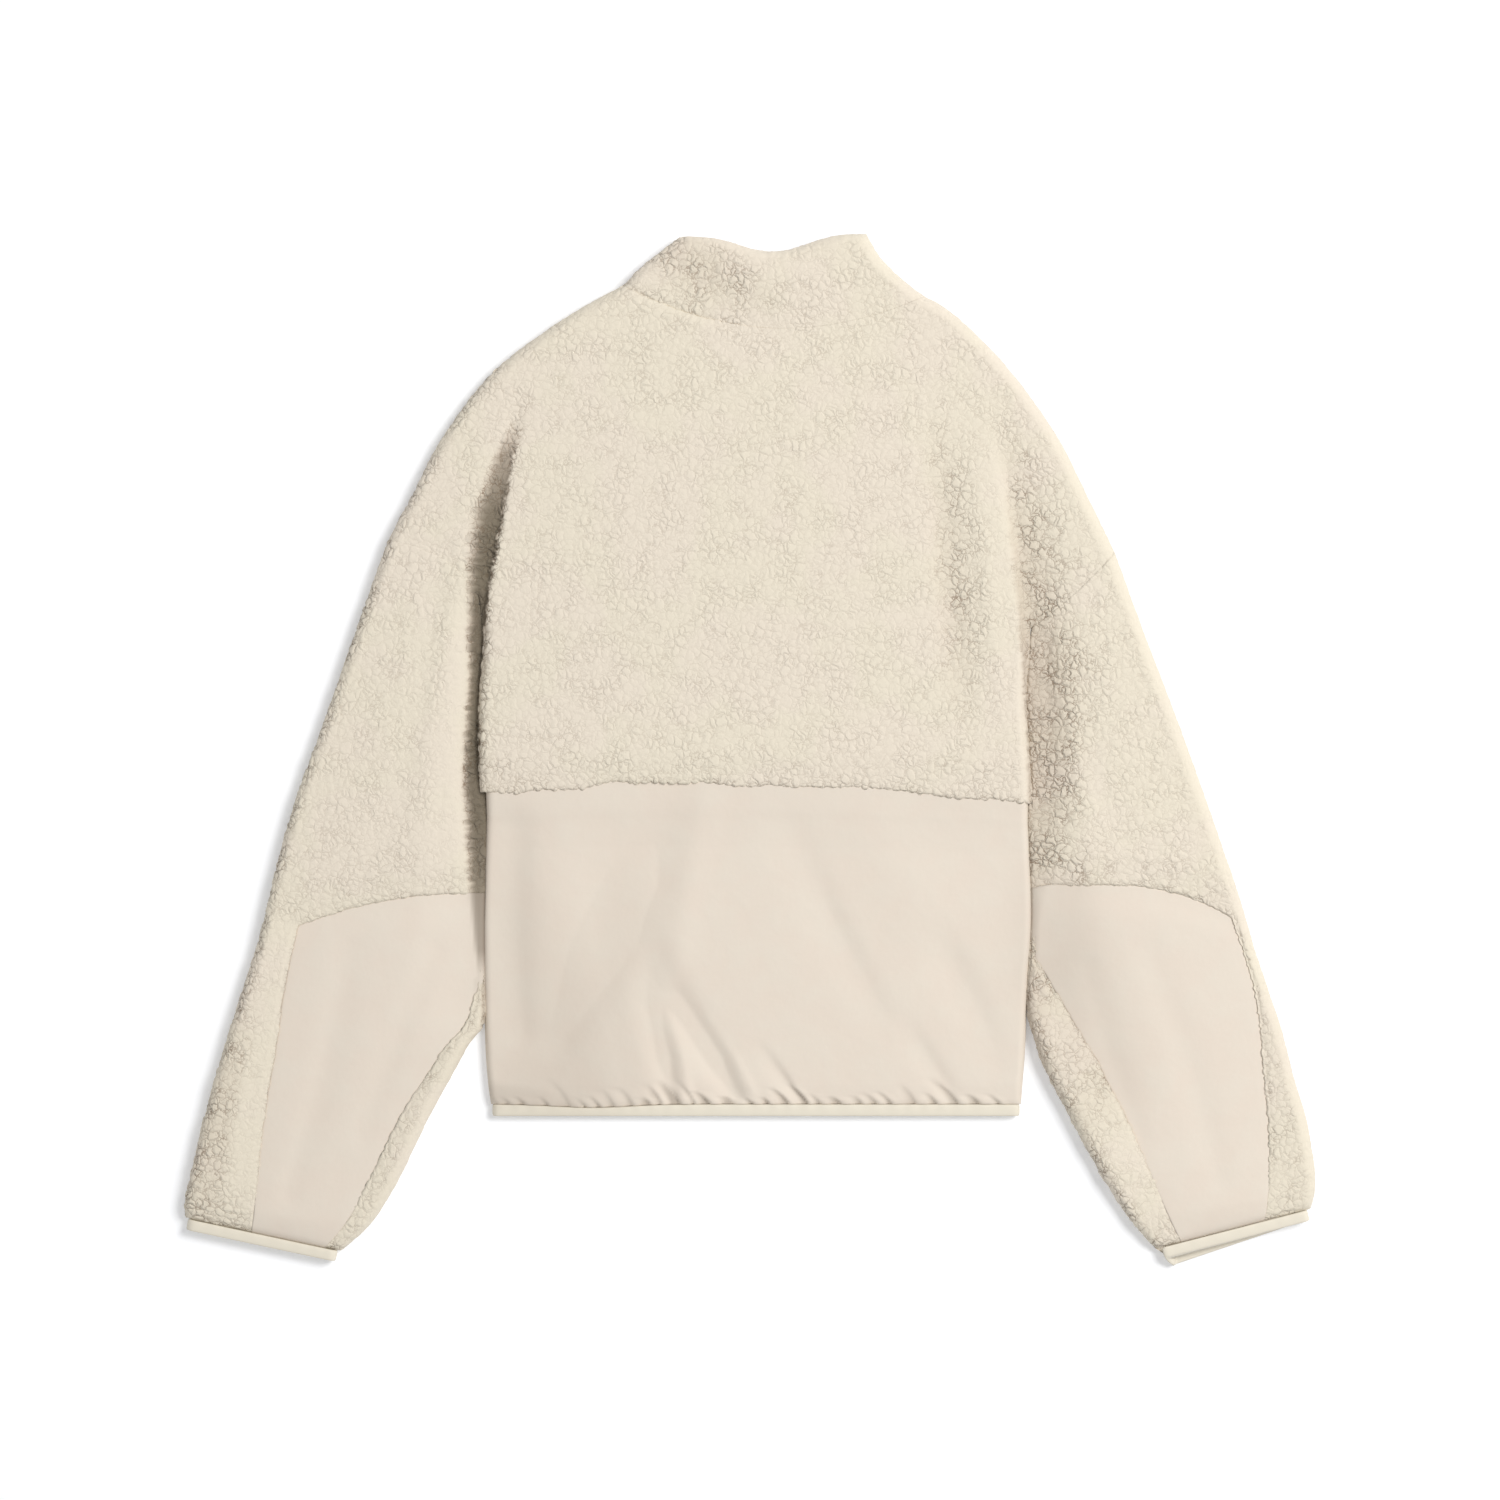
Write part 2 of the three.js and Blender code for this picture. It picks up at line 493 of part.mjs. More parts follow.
function makeFrontUpper(side) {
  const outer = side < 0 ? yokeLeft : yokeRight;
  const word = side < 0 ? 'left' : 'right';
  const inner = frontInner(side);
  const atHeights = (p, f) => Object.assign(p, { f },
    frontLayer({ distance: toFold(bodyFolds[word], p), stack: 19, wall: PILE_WALL }));
  const rows = FRONT_ROWS.map((row) => {
    const [start, end] = [outer(row), inner(row)];
    if (row === NECK_ROW) return [atHeights(start, 0)];
    const columns = fractions(start.distanceTo(end), [0.5], [2, 2]);
    return columns.map((f) => atHeights(across(start, end, 0, f), f));
  });
  return slab(`front_upper_${word}`, CLOTH.sherpa, weave(rows));
}

function makeFrontLower(side) {
  const outer = side < 0 ? lowerLeft : lowerRight;
  const word = side < 0 ? 'left' : 'right';
  const rows = rowNumbers(LOWER, 2).map((row) => {
    const start = outer(row);
    const y = mix(lowerLeft(row).y, lowerRight(row).y, 0.5);
    const end = new THREE.Vector2(centreX(y) + side * ZIP_CHANNEL_HALF, y);
    const { stack, lift } = lowerSection(row);
    return fractions(start.distanceTo(end), [0.5], [2, 2]).map((f) => {
      const p = across(start, end, 0, f);
      const heights = frontLayer({ distance: toFold(lowerFolds, p), stack, lift, wall: WOVEN_WALL });
      return Object.assign(p, heights, { f });
    });
  });
  return slab(`front_lower_${word}`, CLOTH.woven, weave(rows));
}

// ---------------------------------------------------------------- sleeves

function sleeve(side) {
  const word = side < 0 ? 'left' : 'right';
  const table = side < 0 ? SLEEVE_LEFT : SLEEVE_RIGHT;
  const last = table.length - 1;
  const outer = rail(table.map((row) => row.outer));
  const inner = rail(table.map((row) => row.inner));
  const folds = [sample(outer, 0, last, 40), sample(inner, 0, last, 40)];
  const [bow, stack] = [column(table, 'bow'), column(table, 'stack')];
  const [seamOuter, seamInner] = [column(table, 'seamOut'), column(table, 'seamIn')];

  const yokeEnd = side < 0 ? yokeLeft : yokeRight;
  const planRows = (rowList, counts, heights) => rowList.map((row) => {
    const [start, end] = [outer(row), inner(row)];
    const cuts = [seamOuter(row), seamInner(row)];
    return fractions(start.distanceTo(end), cuts, counts).map((f) => {
      const p = row === 0 ? yokeEnd(mix(NOTCH_ROW, ARMPIT_ROW, f)) : across(start, end, bow(row), f);
      const inPanel = (f - cuts[0]) / (cuts[1] - cuts[0]);
      return Object.assign(p, heights(p, row, inPanel), { f, inPanel, row });
    });
  });
  const firstCell = ROLL_COLUMNS.length - 1 + TOP_COLUMNS[0];
  const isPanel = (rowList) => (r, cell) => rowList[r] > ELBOW_ROW - 0.01
    && cell >= firstCell && cell < firstCell + TOP_COLUMNS[1];

  const makeTop = () => {
    const rowList = rowNumbers(table);
    const rows = planRows(rowList, TOP_COLUMNS, (p, row) => {
      const rise = creaseRise(CREASES.body, p.x, p.y);
      return backLayer({ distance: toFold(folds, p), stack: stack(row), wall: PILE_WALL, rise });
    });
    const inside = isPanel(rowList);
    return slab(`sleeve_${word}_top`, CLOTH.sherpa, weave(rows, (...cell) => !inside(...cell)));
  };

  const makeElbow = () => {
    const rowList = rowNumbers(table);
    const rows = planRows(rowList, TOP_COLUMNS, (p, row, inPanel) => {
      const along = (row - ELBOW_ROW) / (last - ELBOW_ROW);
      const puff = ELBOW_PUFF * Math.sin(Math.PI * THREE.MathUtils.clamp(inPanel, 0, 1)) ** 0.5
        * THREE.MathUtils.smoothstep(along, 0, 0.12) * (1 - THREE.MathUtils.smoothstep(along, 0.88, 1));
      const rise = creaseRise(CREASES.sleeve, p.x, p.y) + puff;
      return backLayer({ distance: toFold(folds, p), stack: stack(row), wall: WOVEN_WALL, rise });
    });
    return slab(`elbow_${word}`, CLOTH.woven, weave(rows, isPanel(rowList)));
  };

  const makeUnder = () => {
    const mouth = CUFF_MOUTH[word];
    const rows = planRows(rowNumbers(table, 2), [1, 5, 1], (p, row) =>
      frontLayer({ distance: toFold(folds, p), stack: stack(row), wall: PILE_WALL }));
    rows.at(-1).forEach((p) => {
      const slip = new THREE.Vector2(...mouth.outer).lerp(new THREE.Vector2(...mouth.inner), p.f);
      p.add(slip);
      p.top -= slip.length() * MOUTH_SLOPE;
    });
    return slab(`sleeve_${word}_under`, CLOTH.sherpa, weave(rows));
  };

  const makeCuff = () => {
    const [start, end] = [outer(last), inner(last)];
    const mouth = CUFF_MOUTH[word];
    const underStart = start.clone().add(new THREE.Vector2(...mouth.outer));
    const underEnd = end.clone().add(new THREE.Vector2(...mouth.inner));
    return bindingRing(`cuff_${word}`, {
      start, end, underStart, underEnd, stack: table[last].stack, width: CUFF_BINDING_WIDTH, draw: 5,
    });
  };

  return [makeTop(), makeElbow(), makeUnder(), makeCuff()];
}

// ---------------------------------------------------------------- bindings

/** A flattened elastic ring: upper run on the line start-end, lower run on underStart-underEnd. */
function bindingRing(name, { start, end, underStart, underEnd, stack, width, draw }) {
  const radius = stack / 2;
  const length = start.distanceTo(end);
  const straight = Math.round(length / BINDING_STEP);
  const span = length - stack - draw;
  const turned = (i) => [Math.cos((i * Math.PI) / BINDING_TURN), Math.sin((i * Math.PI) / BINDING_TURN)];
  const stations = [
    ...Array.from({ length: straight }, (_, i) => [radius + (span * i) / straight, 1, 0]),
    ...Array.from({ length: BINDING_TURN + 1 }, (_, i) => [radius + span, ...turned(i)]),
    ...Array.from({ length: straight - 1 }, (_, i) => [radius + span - (span * (i + 1)) / straight, -1, 0]),
    ...Array.from({ length: BINDING_TURN }, (_, i) => [radius, ...turned(i + BINDING_TURN)]),
  ];
  const along = end.clone().sub(start).normalize();
  const down = new THREE.Vector2(along.y, -along.x);
  if (down.y > 0) down.negate();
  const outline = [[radius, 0], [radius, 1], [radius - BINDING_WALL, 1], [radius - BINDING_WALL, 0]];
  const corners = stations.map(([at, up, out]) => outline.map(([reach, edge]) => {
    const z = radius + reach * up;
    const f = (at + draw / 2 + reach * out) / length;
    const raised = THREE.MathUtils.clamp((z / stack - 0.5) / 0.4, 0, 1);
    const p = underStart.clone().lerp(underEnd, f).lerp(start.clone().lerp(end, f), raised);
    p.addScaledVector(down, SEAM_GAP + edge * width);
    return [p.x, p.y, z];
  }));
  const positions = [];
  corners.forEach((corner, i) => {
    const next = corners[(i + 1) % corners.length];
    for (let k = 0; k < 4; k += 1) {
      const m = (k + 1) % 4;
      positions.push(...corner[k], ...next[k], ...next[m], ...corner[k], ...next[m], ...corner[m]);
    }
  });
  const geometry = new THREE.BufferGeometry();
  geometry.setAttribute('position', new THREE.Float32BufferAttribute(positions, 3));
  return named(name, facingOut(geometry), CLOTH.binding);
}

/** Turns a closed geometry's faces outwards. */
function facingOut(geometry) {
  const at = geometry.attributes.position;
  const [a, b, c] = [new THREE.Vector3(), new THREE.Vector3(), new THREE.Vector3()];
  let volume = 0;
  for (let i = 0; i < at.count; i += 3) {
    a.fromBufferAttribute(at, i);
    b.fromBufferAttribute(at, i + 1);
    c.fromBufferAttribute(at, i + 2);
    volume += a.dot(b.cross(c));
  }
  if (volume < 0) {
    for (let i = 0; i < at.count; i += 3) {
      b.fromBufferAttribute(at, i + 1);
      c.fromBufferAttribute(at, i + 2);
      at.setXYZ(i + 1, c.x, c.y, c.z);
      at.setXYZ(i + 2, b.x, b.y, b.z);
    }
  }
  geometry.computeVertexNormals();
  return geometry;
}

function makeHem() {
  const [start, end] = [lowerLeft(LOWER.length - 1), lowerRight(LOWER.length - 1)];
  return bindingRing('hem_binding', {
    start, end, underStart: start, underEnd: end, stack: HEM_STACK, width: HEM_BINDING_WIDTH, draw: 2,
  });
}

// ---------------------------------------------------------------- collar

function makeCollarBack() {
  const last = COLLAR.length - 1;
  const [left, right] = [rail(COLLAR.map((row) => row.left)), rail(COLLAR.map((row) => row.right))];
  const folds = [sample(left, 0, last, 12), sample(right, 0, last, 12)];
  const rows = rowNumbers(COLLAR).map((row) => {
    const [start, end] = [left(row), right(row)];
    return fractions(start.distanceTo(end), [0.5], [9, 9]).map((f) => {
      const p = across(start, end, column(COLLAR, 'bow')(row), f);
      const puff = COLLAR_PUFF * Math.sin(Math.PI * THREE.MathUtils.clamp(row / last, 0.1, 0.9));
      const rise = creaseRise(CREASES.collar, p.x, p.y) + puff - column(COLLAR, 'drop')(row);
      const heights = backLayer({ distance: toFold(folds, p), stack: 19, wall: PILE_WALL, rise });
      return Object.assign(p, heights, { f });
    });
  });
  return slab('collar_back', CLOTH.sherpa, weave(rows));
}

function makeCollarFront(side) {
  const word = side < 0 ? 'left' : 'right';
  const last = COLLAR.length - 1;
  const sideFold = rail(COLLAR.map((row) => row[word]));
  const neckLine = frontInner(side);
  const topEnd = [centreX(FRONT_COLLAR_TOP_Y) + side * ZIP_CHANNEL_HALF, FRONT_COLLAR_TOP_Y];
  const peak = COLLAR[last][word];
  const topLine = rail([peak, [mix(peak[0], topEnd[0], 0.5), mix(peak[1], topEnd[1], 0.62)], topEnd]);
  const folds = [sample(sideFold, 0, last, 12)];
  const columns = FRONT_ROWS.filter((row) => row >= NECK_FROM_ROW).reverse();
  const rows = rowNumbers(COLLAR, 2).map((row) => {
    const rise = row / last;
    const slip = sideFold(row).sub(sideFold(0).lerp(sideFold(last), rise));
    return columns.map((column) => {
      const f = (NECK_ROW - column) / (NECK_ROW - NECK_FROM_ROW);
      const p = neckLine(column).lerp(topLine(f * 2), rise).addScaledVector(slip, 1 - f);
      return Object.assign(p, frontLayer({ distance: toFold(folds, p), stack: 19, wall: PILE_WALL }), { f });
    });
  });
  return slab(`collar_front_${word}`, CLOTH.sherpa, weave(rows));
}

// ---------------------------------------------------------------- zip

/** Height of the front layer's inner side at the centre front. */
function frontInnerSide(y) {
  const liftEnd = (LOWER[LIFT_ENDS_AT_ROW].left[1] + LOWER[LIFT_ENDS_AT_ROW].right[1]) / 2;
  const seam = (LOWER[0].left[1] + LOWER[0].right[1]) / 2;
  const lift = WOVEN_LIFT * THREE.MathUtils.clamp((y - liftEnd) / (seam - liftEnd), 0, 1);
  const pinch = THREE.MathUtils.clamp((HEM_Y + HEM_PINCH - y) / HEM_PINCH, 0, 1);
  return WOVEN_WALL + lift - pinch * ((WOVEN_STACK - HEM_STACK) / 2);
}

function zipStrip(name, material, { from, to, low, high, bottomOffset, thickness }) {
  const seam = (LOWER[0].left[1] + LOWER[0].right[1]) / 2;
  const liftEnd = (LOWER[LIFT_ENDS_AT_ROW].left[1] + LOWER[LIFT_ENDS_AT_ROW].right[1]) / 2;
  const stations = [low, HEM_Y + HEM_PINCH, liftEnd, seam, high];
  const rows = stations.map((y) => [from, to].map((offset, f) => {
    const bottom = frontInnerSide(y) + bottomOffset;
    return Object.assign(new THREE.Vector2(centreX(y) + offset, y), { bottom, top: bottom + thickness, f });
  }));
  return slab(name, material, weave(rows));
}

const SLIDER = { y: 309.5, half: 4.4, length: 13, top: 7.9, bottom: 4.4 };
const BAIL = { half: 0.8, low: 0.6, bar: 1.2, from: -3.6, to: 4.4, leg: 1.5 };
const PULL = { z: 3.1, thickness: 1.2, half: 3.4, length: 27, slotHalf: 1.4, slotEnd: 6.8, bar: 0.7 };
const BOX = { half: 3.6, length: 9, thickness: 2.6 };

function extruded(shape, depth, z) {
  const geometry = new THREE.ExtrudeGeometry(shape, { depth, bevelEnabled: false, curveSegments: 4 });
  geometry.translate(0, 0, z);
  return geometry;
}

/** A plan outline with round ends, half its width at either end. */
function tongue(halfAtStart, halfAtEnd, start, end) {
  const shape = new THREE.Shape();
  shape.moveTo(-halfAtStart, start);
  shape.lineTo(halfAtStart, start);
  shape.lineTo(halfAtEnd, end - halfAtEnd * 0.6);
  shape.quadraticCurveTo(halfAtEnd * 0.9, end, 0, end);
  shape.quadraticCurveTo(-halfAtEnd * 0.9, end, -halfAtEnd, end - halfAtEnd * 0.6);
  shape.closePath();
  return shape;
}

async function makeZip() {
  const wasm = await Module();
  wasm.setup();
  const solidOf = (geometry) => {
    const merged = mergeCorners(geometry);
    const mesh = new wasm.Mesh({ numProp: 3, vertProperties: merged.points, triVerts: merged.triangles });
    return new wasm.Manifold(mesh);
  };
  const geometryOf = (solid) => {
    const { vertProperties, triVerts } = solid.getMesh();
    const geometry = new THREE.BufferGeometry();
    geometry.setAttribute('position', new THREE.BufferAttribute(vertProperties.slice(), 3));
    geometry.setIndex(new THREE.BufferAttribute(triVerts.slice(), 1));
    geometry.computeVertexNormals();
    return geometry;
  };

  const low = HEM_Y + 1;
  const tapeTop = FRONT_COLLAR_TOP_Y - 3;
  const tape = { low, high: tapeTop, bottomOffset: SEAM_GAP, thickness: TAPE_THICKNESS };
  const teethTop = SLIDER.y - SLIDER.length / 2 - SEAM_GAP;
  const teeth = {
    from: -TEETH_HALF, to: TEETH_HALF, low: low + BOX.length, high: teethTop,
    bottomOffset: -TEETH_THICKNESS, thickness: TEETH_THICKNESS,
  };

  const plate = extruded(tongue(SLIDER.half * 0.82, SLIDER.half, -SLIDER.length / 2, SLIDER.length / 2),
    SLIDER.top - SLIDER.bottom, SLIDER.bottom);
  const root = SLIDER.bottom + 0.5;
  const bar = BAIL.low + BAIL.bar;
  const side = new THREE.Shape([
    [BAIL.from, BAIL.low], [BAIL.to, BAIL.low], [BAIL.to, root], [BAIL.to - BAIL.leg, root],
    [BAIL.to - BAIL.leg, bar], [BAIL.from + BAIL.leg, bar], [BAIL.from + BAIL.leg, root], [BAIL.from, root],
  ].map(([y, z]) => new THREE.Vector2(y, z)));
  const bail = new THREE.ExtrudeGeometry(side, { depth: 2 * BAIL.half, bevelEnabled: false });
  bail.rotateX(Math.PI / 2);
  bail.rotateZ(Math.PI / 2);
  bail.translate(-BAIL.half, 0, 0);
  const slider = named('zip_slider', geometryOf(solidOf(plate).add(solidOf(bail))), CLOTH.zip);
  slider.position.set(centreX(SLIDER.y), SLIDER.y, 0);

  const pullShape = tongue(PULL.half * 0.8, PULL.half, -PULL.bar, PULL.length);
  const slot = new THREE.Path();
  slot.moveTo(-PULL.slotHalf, PULL.bar);
  slot.lineTo(-PULL.slotHalf, PULL.slotEnd);
  slot.lineTo(PULL.slotHalf, PULL.slotEnd);
  slot.lineTo(PULL.slotHalf, PULL.bar);
  slot.closePath();
  pullShape.holes.push(slot);
  const pull = named('zip_pull', extruded(pullShape, PULL.thickness, -PULL.thickness / 2), CLOTH.zip);
  pull.rotation.z = Math.PI;
  pull.position.set(centreX(SLIDER.y), SLIDER.y, PULL.z);

  const boxShape = tongue(BOX.half, BOX.half, 0, BOX.length - SEAM_GAP);
  const box = named('zip_box', extruded(boxShape, BOX.thickness, 0), CLOTH.zip);
  box.position.set(centreX(low), low, frontInnerSide(low) - BOX.thickness);

  return [
    zipStrip('zip_tape_left', CLOTH.tape, { ...tape, from: -TAPE_HALF, to: 0 }),
    zipStrip('zip_tape_right', CLOTH.tape, { ...tape, from: 0, to: TAPE_HALF }),
    zipStrip('zip_teeth', CLOTH.tape, teeth),
    slider, pull, box,
  ];
}

/** Points and triangles of a geometry with equal corners joined. */
function mergeCorners(geometry) {
  const flat = geometry.index ? geometry.toNonIndexed() : geometry;
  const at = flat.attributes.position;
  const seen = new Map();
  const points = [];
  const triangles = [];
  for (let i = 0; i < at.count; i += 1) {
    const key = [at.getX(i), at.getY(i), at.getZ(i)].map((value) => value.toFixed(4)).join();
    if (!seen.has(key)) {
      seen.set(key, seen.size);
      points.push(at.getX(i), at.getY(i), at.getZ(i));
    }
    triangles.push(seen.get(key));
  }
  return { points: new Float32Array(points), triangles: new Uint32Array(triangles) };
}

// ---------------------------------------------------------------- the jacket

const jacket = new THREE.Group();
jacket.add(
  makeCollarBack(), makeCollarFront(-1), makeCollarFront(1),
  makeYoke(), makeLowerBack(),
  makeFrontUpper(-1), makeFrontUpper(1), makeFrontLower(-1), makeFrontLower(1),
  ...sleeve(-1), ...sleeve(1),
  makeHem(),
  ...(await makeZip()),
);
const box = new THREE.Box3().setFromObject(jacket);
const middle = box.getCenter(new THREE.Vector3());
jacket.position.set(-middle.x, -middle.y, -box.min.z);

export default jacket;
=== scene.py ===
# %% [markdown]
# # A cropped sherpa jacket, laid flat with its back up
# The jacket is fleece with woven lower panels and woven elbow panels. Its hem and cuffs end in elastic
# bindings, and a zip closes the front, which faces the table. This lesson dresses plain CAD solids: every
# cloth piece becomes a thin closed shell on its solid's form, and the small things that a needle, a loom or
# a zip maker adds are made by Geometry Nodes. The first cell opens the shared frame.

# %% Open the shared frame
import math
import bmesh
import bpy
import numpy as np
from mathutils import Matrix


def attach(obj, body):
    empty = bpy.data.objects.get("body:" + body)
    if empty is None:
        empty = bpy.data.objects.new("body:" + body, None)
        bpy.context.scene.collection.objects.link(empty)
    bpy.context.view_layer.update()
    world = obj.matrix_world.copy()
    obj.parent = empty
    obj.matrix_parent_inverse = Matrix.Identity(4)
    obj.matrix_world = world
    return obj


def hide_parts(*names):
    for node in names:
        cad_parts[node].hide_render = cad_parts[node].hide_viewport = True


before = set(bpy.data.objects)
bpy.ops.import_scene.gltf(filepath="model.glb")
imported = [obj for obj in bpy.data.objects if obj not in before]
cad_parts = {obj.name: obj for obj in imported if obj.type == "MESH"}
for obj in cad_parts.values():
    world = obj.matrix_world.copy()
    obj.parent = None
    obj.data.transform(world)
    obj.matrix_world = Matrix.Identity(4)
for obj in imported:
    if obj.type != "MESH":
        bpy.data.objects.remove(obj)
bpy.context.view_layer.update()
print("CAD nodes", len(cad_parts))

# %% [markdown]
# ## The cutter's numbers
# A pattern cutter works in millimetres, so the tables below do too, and `MM` turns them into Blender's metres
# at the very end. A fleece layer is 8 mm thick with its pile, and the woven cloth 4 mm with its wadding. Two
# layers lie on each other with a little air between them.

# %% Driving sizes in millimetres
MM = 0.001
PLAN_SHIFT = np.array([0.5, 0.24, 0.0])  # puts the middle of the plan on the frame's origin
PILE_WALL = 8.0
WOVEN_WALL = 4.0
LAYER_GAP = 3.0
THINNEST_WALL = 2.2
STACK = 2 * PILE_WALL + LAYER_GAP
WOVEN_STACK = 2 * WOVEN_WALL + LAYER_GAP
HEM_STACK = 9.5
WOVEN_LIFT = PILE_WALL - WOVEN_WALL
HEM_Y = -265.0
HEM_PINCH = 14.0
FRONT_NECK_Y = 255.0
FRONT_COLLAR_TOP_Y = 325.0
ZIP_CHANNEL_HALF = 6.0


def centre_x(y):
    """The centre front leans a little, from the hem to the collar."""
    return 4.5 + (17 - 4.5) * (np.asarray(y) - HEM_Y) / (FRONT_COLLAR_TOP_Y - HEM_Y)


# %% [markdown]
# ## Pattern tables
# Each row is one section across a piece: where it starts and ends in plan, and how far its middle bows. A
# handful of sections is enough, because a smooth rail runs through them. The numbers are the same ones that
# the solids were built from, so cloth and solid share an outline.

# %% Tables of the body, sleeves and collar
YOKE = np.array([  # left x, y, right x, y, bow; rows 4 to 7 run up the armholes
    (-202, -29, 211, -33, 6), (-204, 5, 209, 2, 3), (-203, 45, 207, 40, 0), (-200, 85, 209, 70, 0),
    (-203, 115, 210, 91, 0), (-222, 138, 229, 105, -3), (-246, 151, 250, 124, -4), (-271, 157, 273, 148, -3),
    (-253, 191, 252, 191, 0), (-229, 236, 229, 236, 0), (-194, 281, 197, 281, -7), (-151, 315, 165, 315, -16),
    (-117, 336, 144, 332, -24), (-96, 347, 131, 339, -28.5)], float)
ARMPIT_ROW, NOTCH_ROW, NECK_ROW = 4, 7, 13
LOWER = np.array([  # left x, y, right x, y, bow; from the yoke seam down to the hem
    (-197.5, -29, 208, -33, 6), (-197, -51, 208, -55, 5), (-198, -75, 209.5, -79, 4),
    (-199.5, -127, 211, -127, 2), (-199, -182, 208, -178, 1), (-198, -225, 206, -225, 0),
    (-196, HEM_Y + HEM_PINCH, 204, HEM_Y + HEM_PINCH, 0), (-194, HEM_Y, 203, HEM_Y, 0)], float)
SLEEVE_LEFT = np.array([  # outer x, y, inner x, y, elbow seams out and in, bow, stack height
    (-271, 157, -203, 115, .2, .84, 7, 19), (-295, 90, -201.8, 78, .2, .87, 6, 19),
    (-319, 22, -205, 28, .2, .9, 4, 19), (-343, -45, -204.2, -25, .2, .92, 5, 19),
    (-359, -105, -199.8, -75, .2, .96, 9, 19), (-369, -146, -200.4, -107, .19, .976, 12, 19),
    (-376, -167, -201, -135, .187, .976, 9, 19), (-387, -200, -200.8, -167, .2, .99, 7, 19),
    (-396, -230, -201.5, -201, .213, .94, 5, 19), (-407, -268, -215, -229, .243, .907, 4, 19),
    (-415, -300, -240, -275, .28, .874, 2, 19), (-421, -326, -264, -324, .33, .866, 0, 18),
    (-424, -339, -284, -355, .38, .875, 0, 16), (-423, -350, -306, -375, .43, .9, 0, 12)], float)
SLEEVE_RIGHT = np.array([
    (273, 148, 210, 91, .2, .84, -2, 19), (294, 90, 210.4, 66, .18, .87, 2, 19),
    (320, 22, 209.6, 20, .15, .9, 4, 19), (344, -45, 212.4, -30, .12, .92, 8, 19),
    (363, -100, 210.9, -75, .1, .96, 15, 19), (373, -133, 211.9, -112, .08, .985, 21, 19),
    (379, -153, 212, -134, .062, .988, 14, 19), (388, -180, 210.8, -157, .062, .976, 9, 19),
    (398, -210, 209.2, -190, .085, .872, 5, 19), (407, -245, 217, -232, .116, .78, 3, 19),
    (416, -275, 238, -274, .157, .77, 2, 19), (422, -308, 262, -318, .206, .775, 0, 18),
    (423, -328, 284, -352, .26, .8, 0, 16), (420, -343, 303, -373, .3, .84, 0, 12)], float)
ELBOW_ROW = 5
CUFF_SLIP = {"left": ((0, 0), (0, 0)), "right": ((-1, 0), (9, -6))}  # the under layer at outer and inner end
COLLAR = np.array([  # left x, y, right x, y, bow, drop of the rounded edge
    (-96, 347, 131, 339, -28.5, 0), (-82, 361, 114, 352, -23, 0), (-66, 374, 98, 368, -17, 0),
    (-58, 380, 91, 379, -14, .6), (-53, 384, 87, 386, -12, 3.5)], float)
FRONT_NECK = np.array([(0, 255), (34, 262), (68, 283), (93, 311)], float)  # out from the zip, and y
NECK_FROM_ROW = 9


# %% [markdown]
# ## Rails and rows
# A rail is a Catmull-Rom curve that is read by row number, with sharp corners where the pattern has them. Rows
# are then spread evenly along the rails, so that the mesh has quads of one size wherever the table's own rows
# lie closer or further apart.

# %% Rails, columns and bowed rows
def rail(points, corners=()):
    points = np.asarray(points, float)
    stops = [0, *corners, len(points) - 1]

    def read(row):
        row = np.asarray(row, float)
        flat, out = row.ravel(), np.zeros((row.size, 2))
        piece = np.clip(np.searchsorted(stops, flat, side="right") - 1, 0, len(stops) - 2)
        for k, (low, high) in enumerate(zip(stops, stops[1:])):
            part, at = points[low:high + 1], flat[piece == k] - low
            i = np.clip(np.floor(at).astype(int), 0, high - low)
            w = (at - i)[:, None]
            a, b, c, d = (part[np.clip(i + step, 0, high - low)] for step in (-1, 0, 1, 2))
            u, v = (c - a) / 2, (d - b) / 2
            out[piece == k] = (2 * b - 2 * c + u + v) * w**3 + (3 * c - 3 * b - 2 * u - v) * w**2 + u * w + b
        return out.reshape(*row.shape, 2)
    return read


def column(table, index):
    return lambda row: np.interp(row, np.arange(len(table)), table[:, index])


def across(start, end, bow, f, shape=None):
    """Points on a bowed row: start and end are (..., 2), and bow and f are (...)."""
    run = end - start
    side = np.where(run[..., 0] > 0, 1, -1)
    lift = side * (4 * f * (1 - f) if shape is None else shape) * bow / np.linalg.norm(run, axis=-1)
    return start + run * f[..., None] + np.stack([-run[..., 1], run[..., 0]], -1) * lift[..., None]


def even_rows(rails, stops, spacing, step):
    """Row numbers spread evenly along the rails, through every stop, in whole groups of step."""
    rows = [float(stops[0])]
    for low, high in zip(stops, stops[1:]):
        fine = np.linspace(low, high, 80)
        run = np.mean([np.linalg.norm(np.diff(r(fine), axis=0), axis=1) for r in rails], axis=0)
        reach = np.concatenate([[0], np.cumsum(run)])
        count = step * max(1, round(reach[-1] / spacing / step))
        rows.extend(np.interp(np.linspace(0, reach[-1], count + 1)[1:], reach, fine))
    return np.array(rows)


def smooth(low, high, value):
    t = np.clip((value - low) / (high - low), 0, 1)
    return t * t * (3 - 2 * t)


# %% [markdown]
# ## How cloth rolls over an edge
# A folded edge of two soft layers is a half circle. If columns were even in plan, the steep part of the roll
# would get one long quad, so `from_fold` spaces them evenly along the cloth instead. `over_fold` is the
# matching height: 0 at the edge and 1 where the cloth lies flat.

# %% Folded edges
def over_fold(distance, reach):
    return np.sqrt(1 - (1 - np.clip(distance / reach, 0, 1)) ** 2)


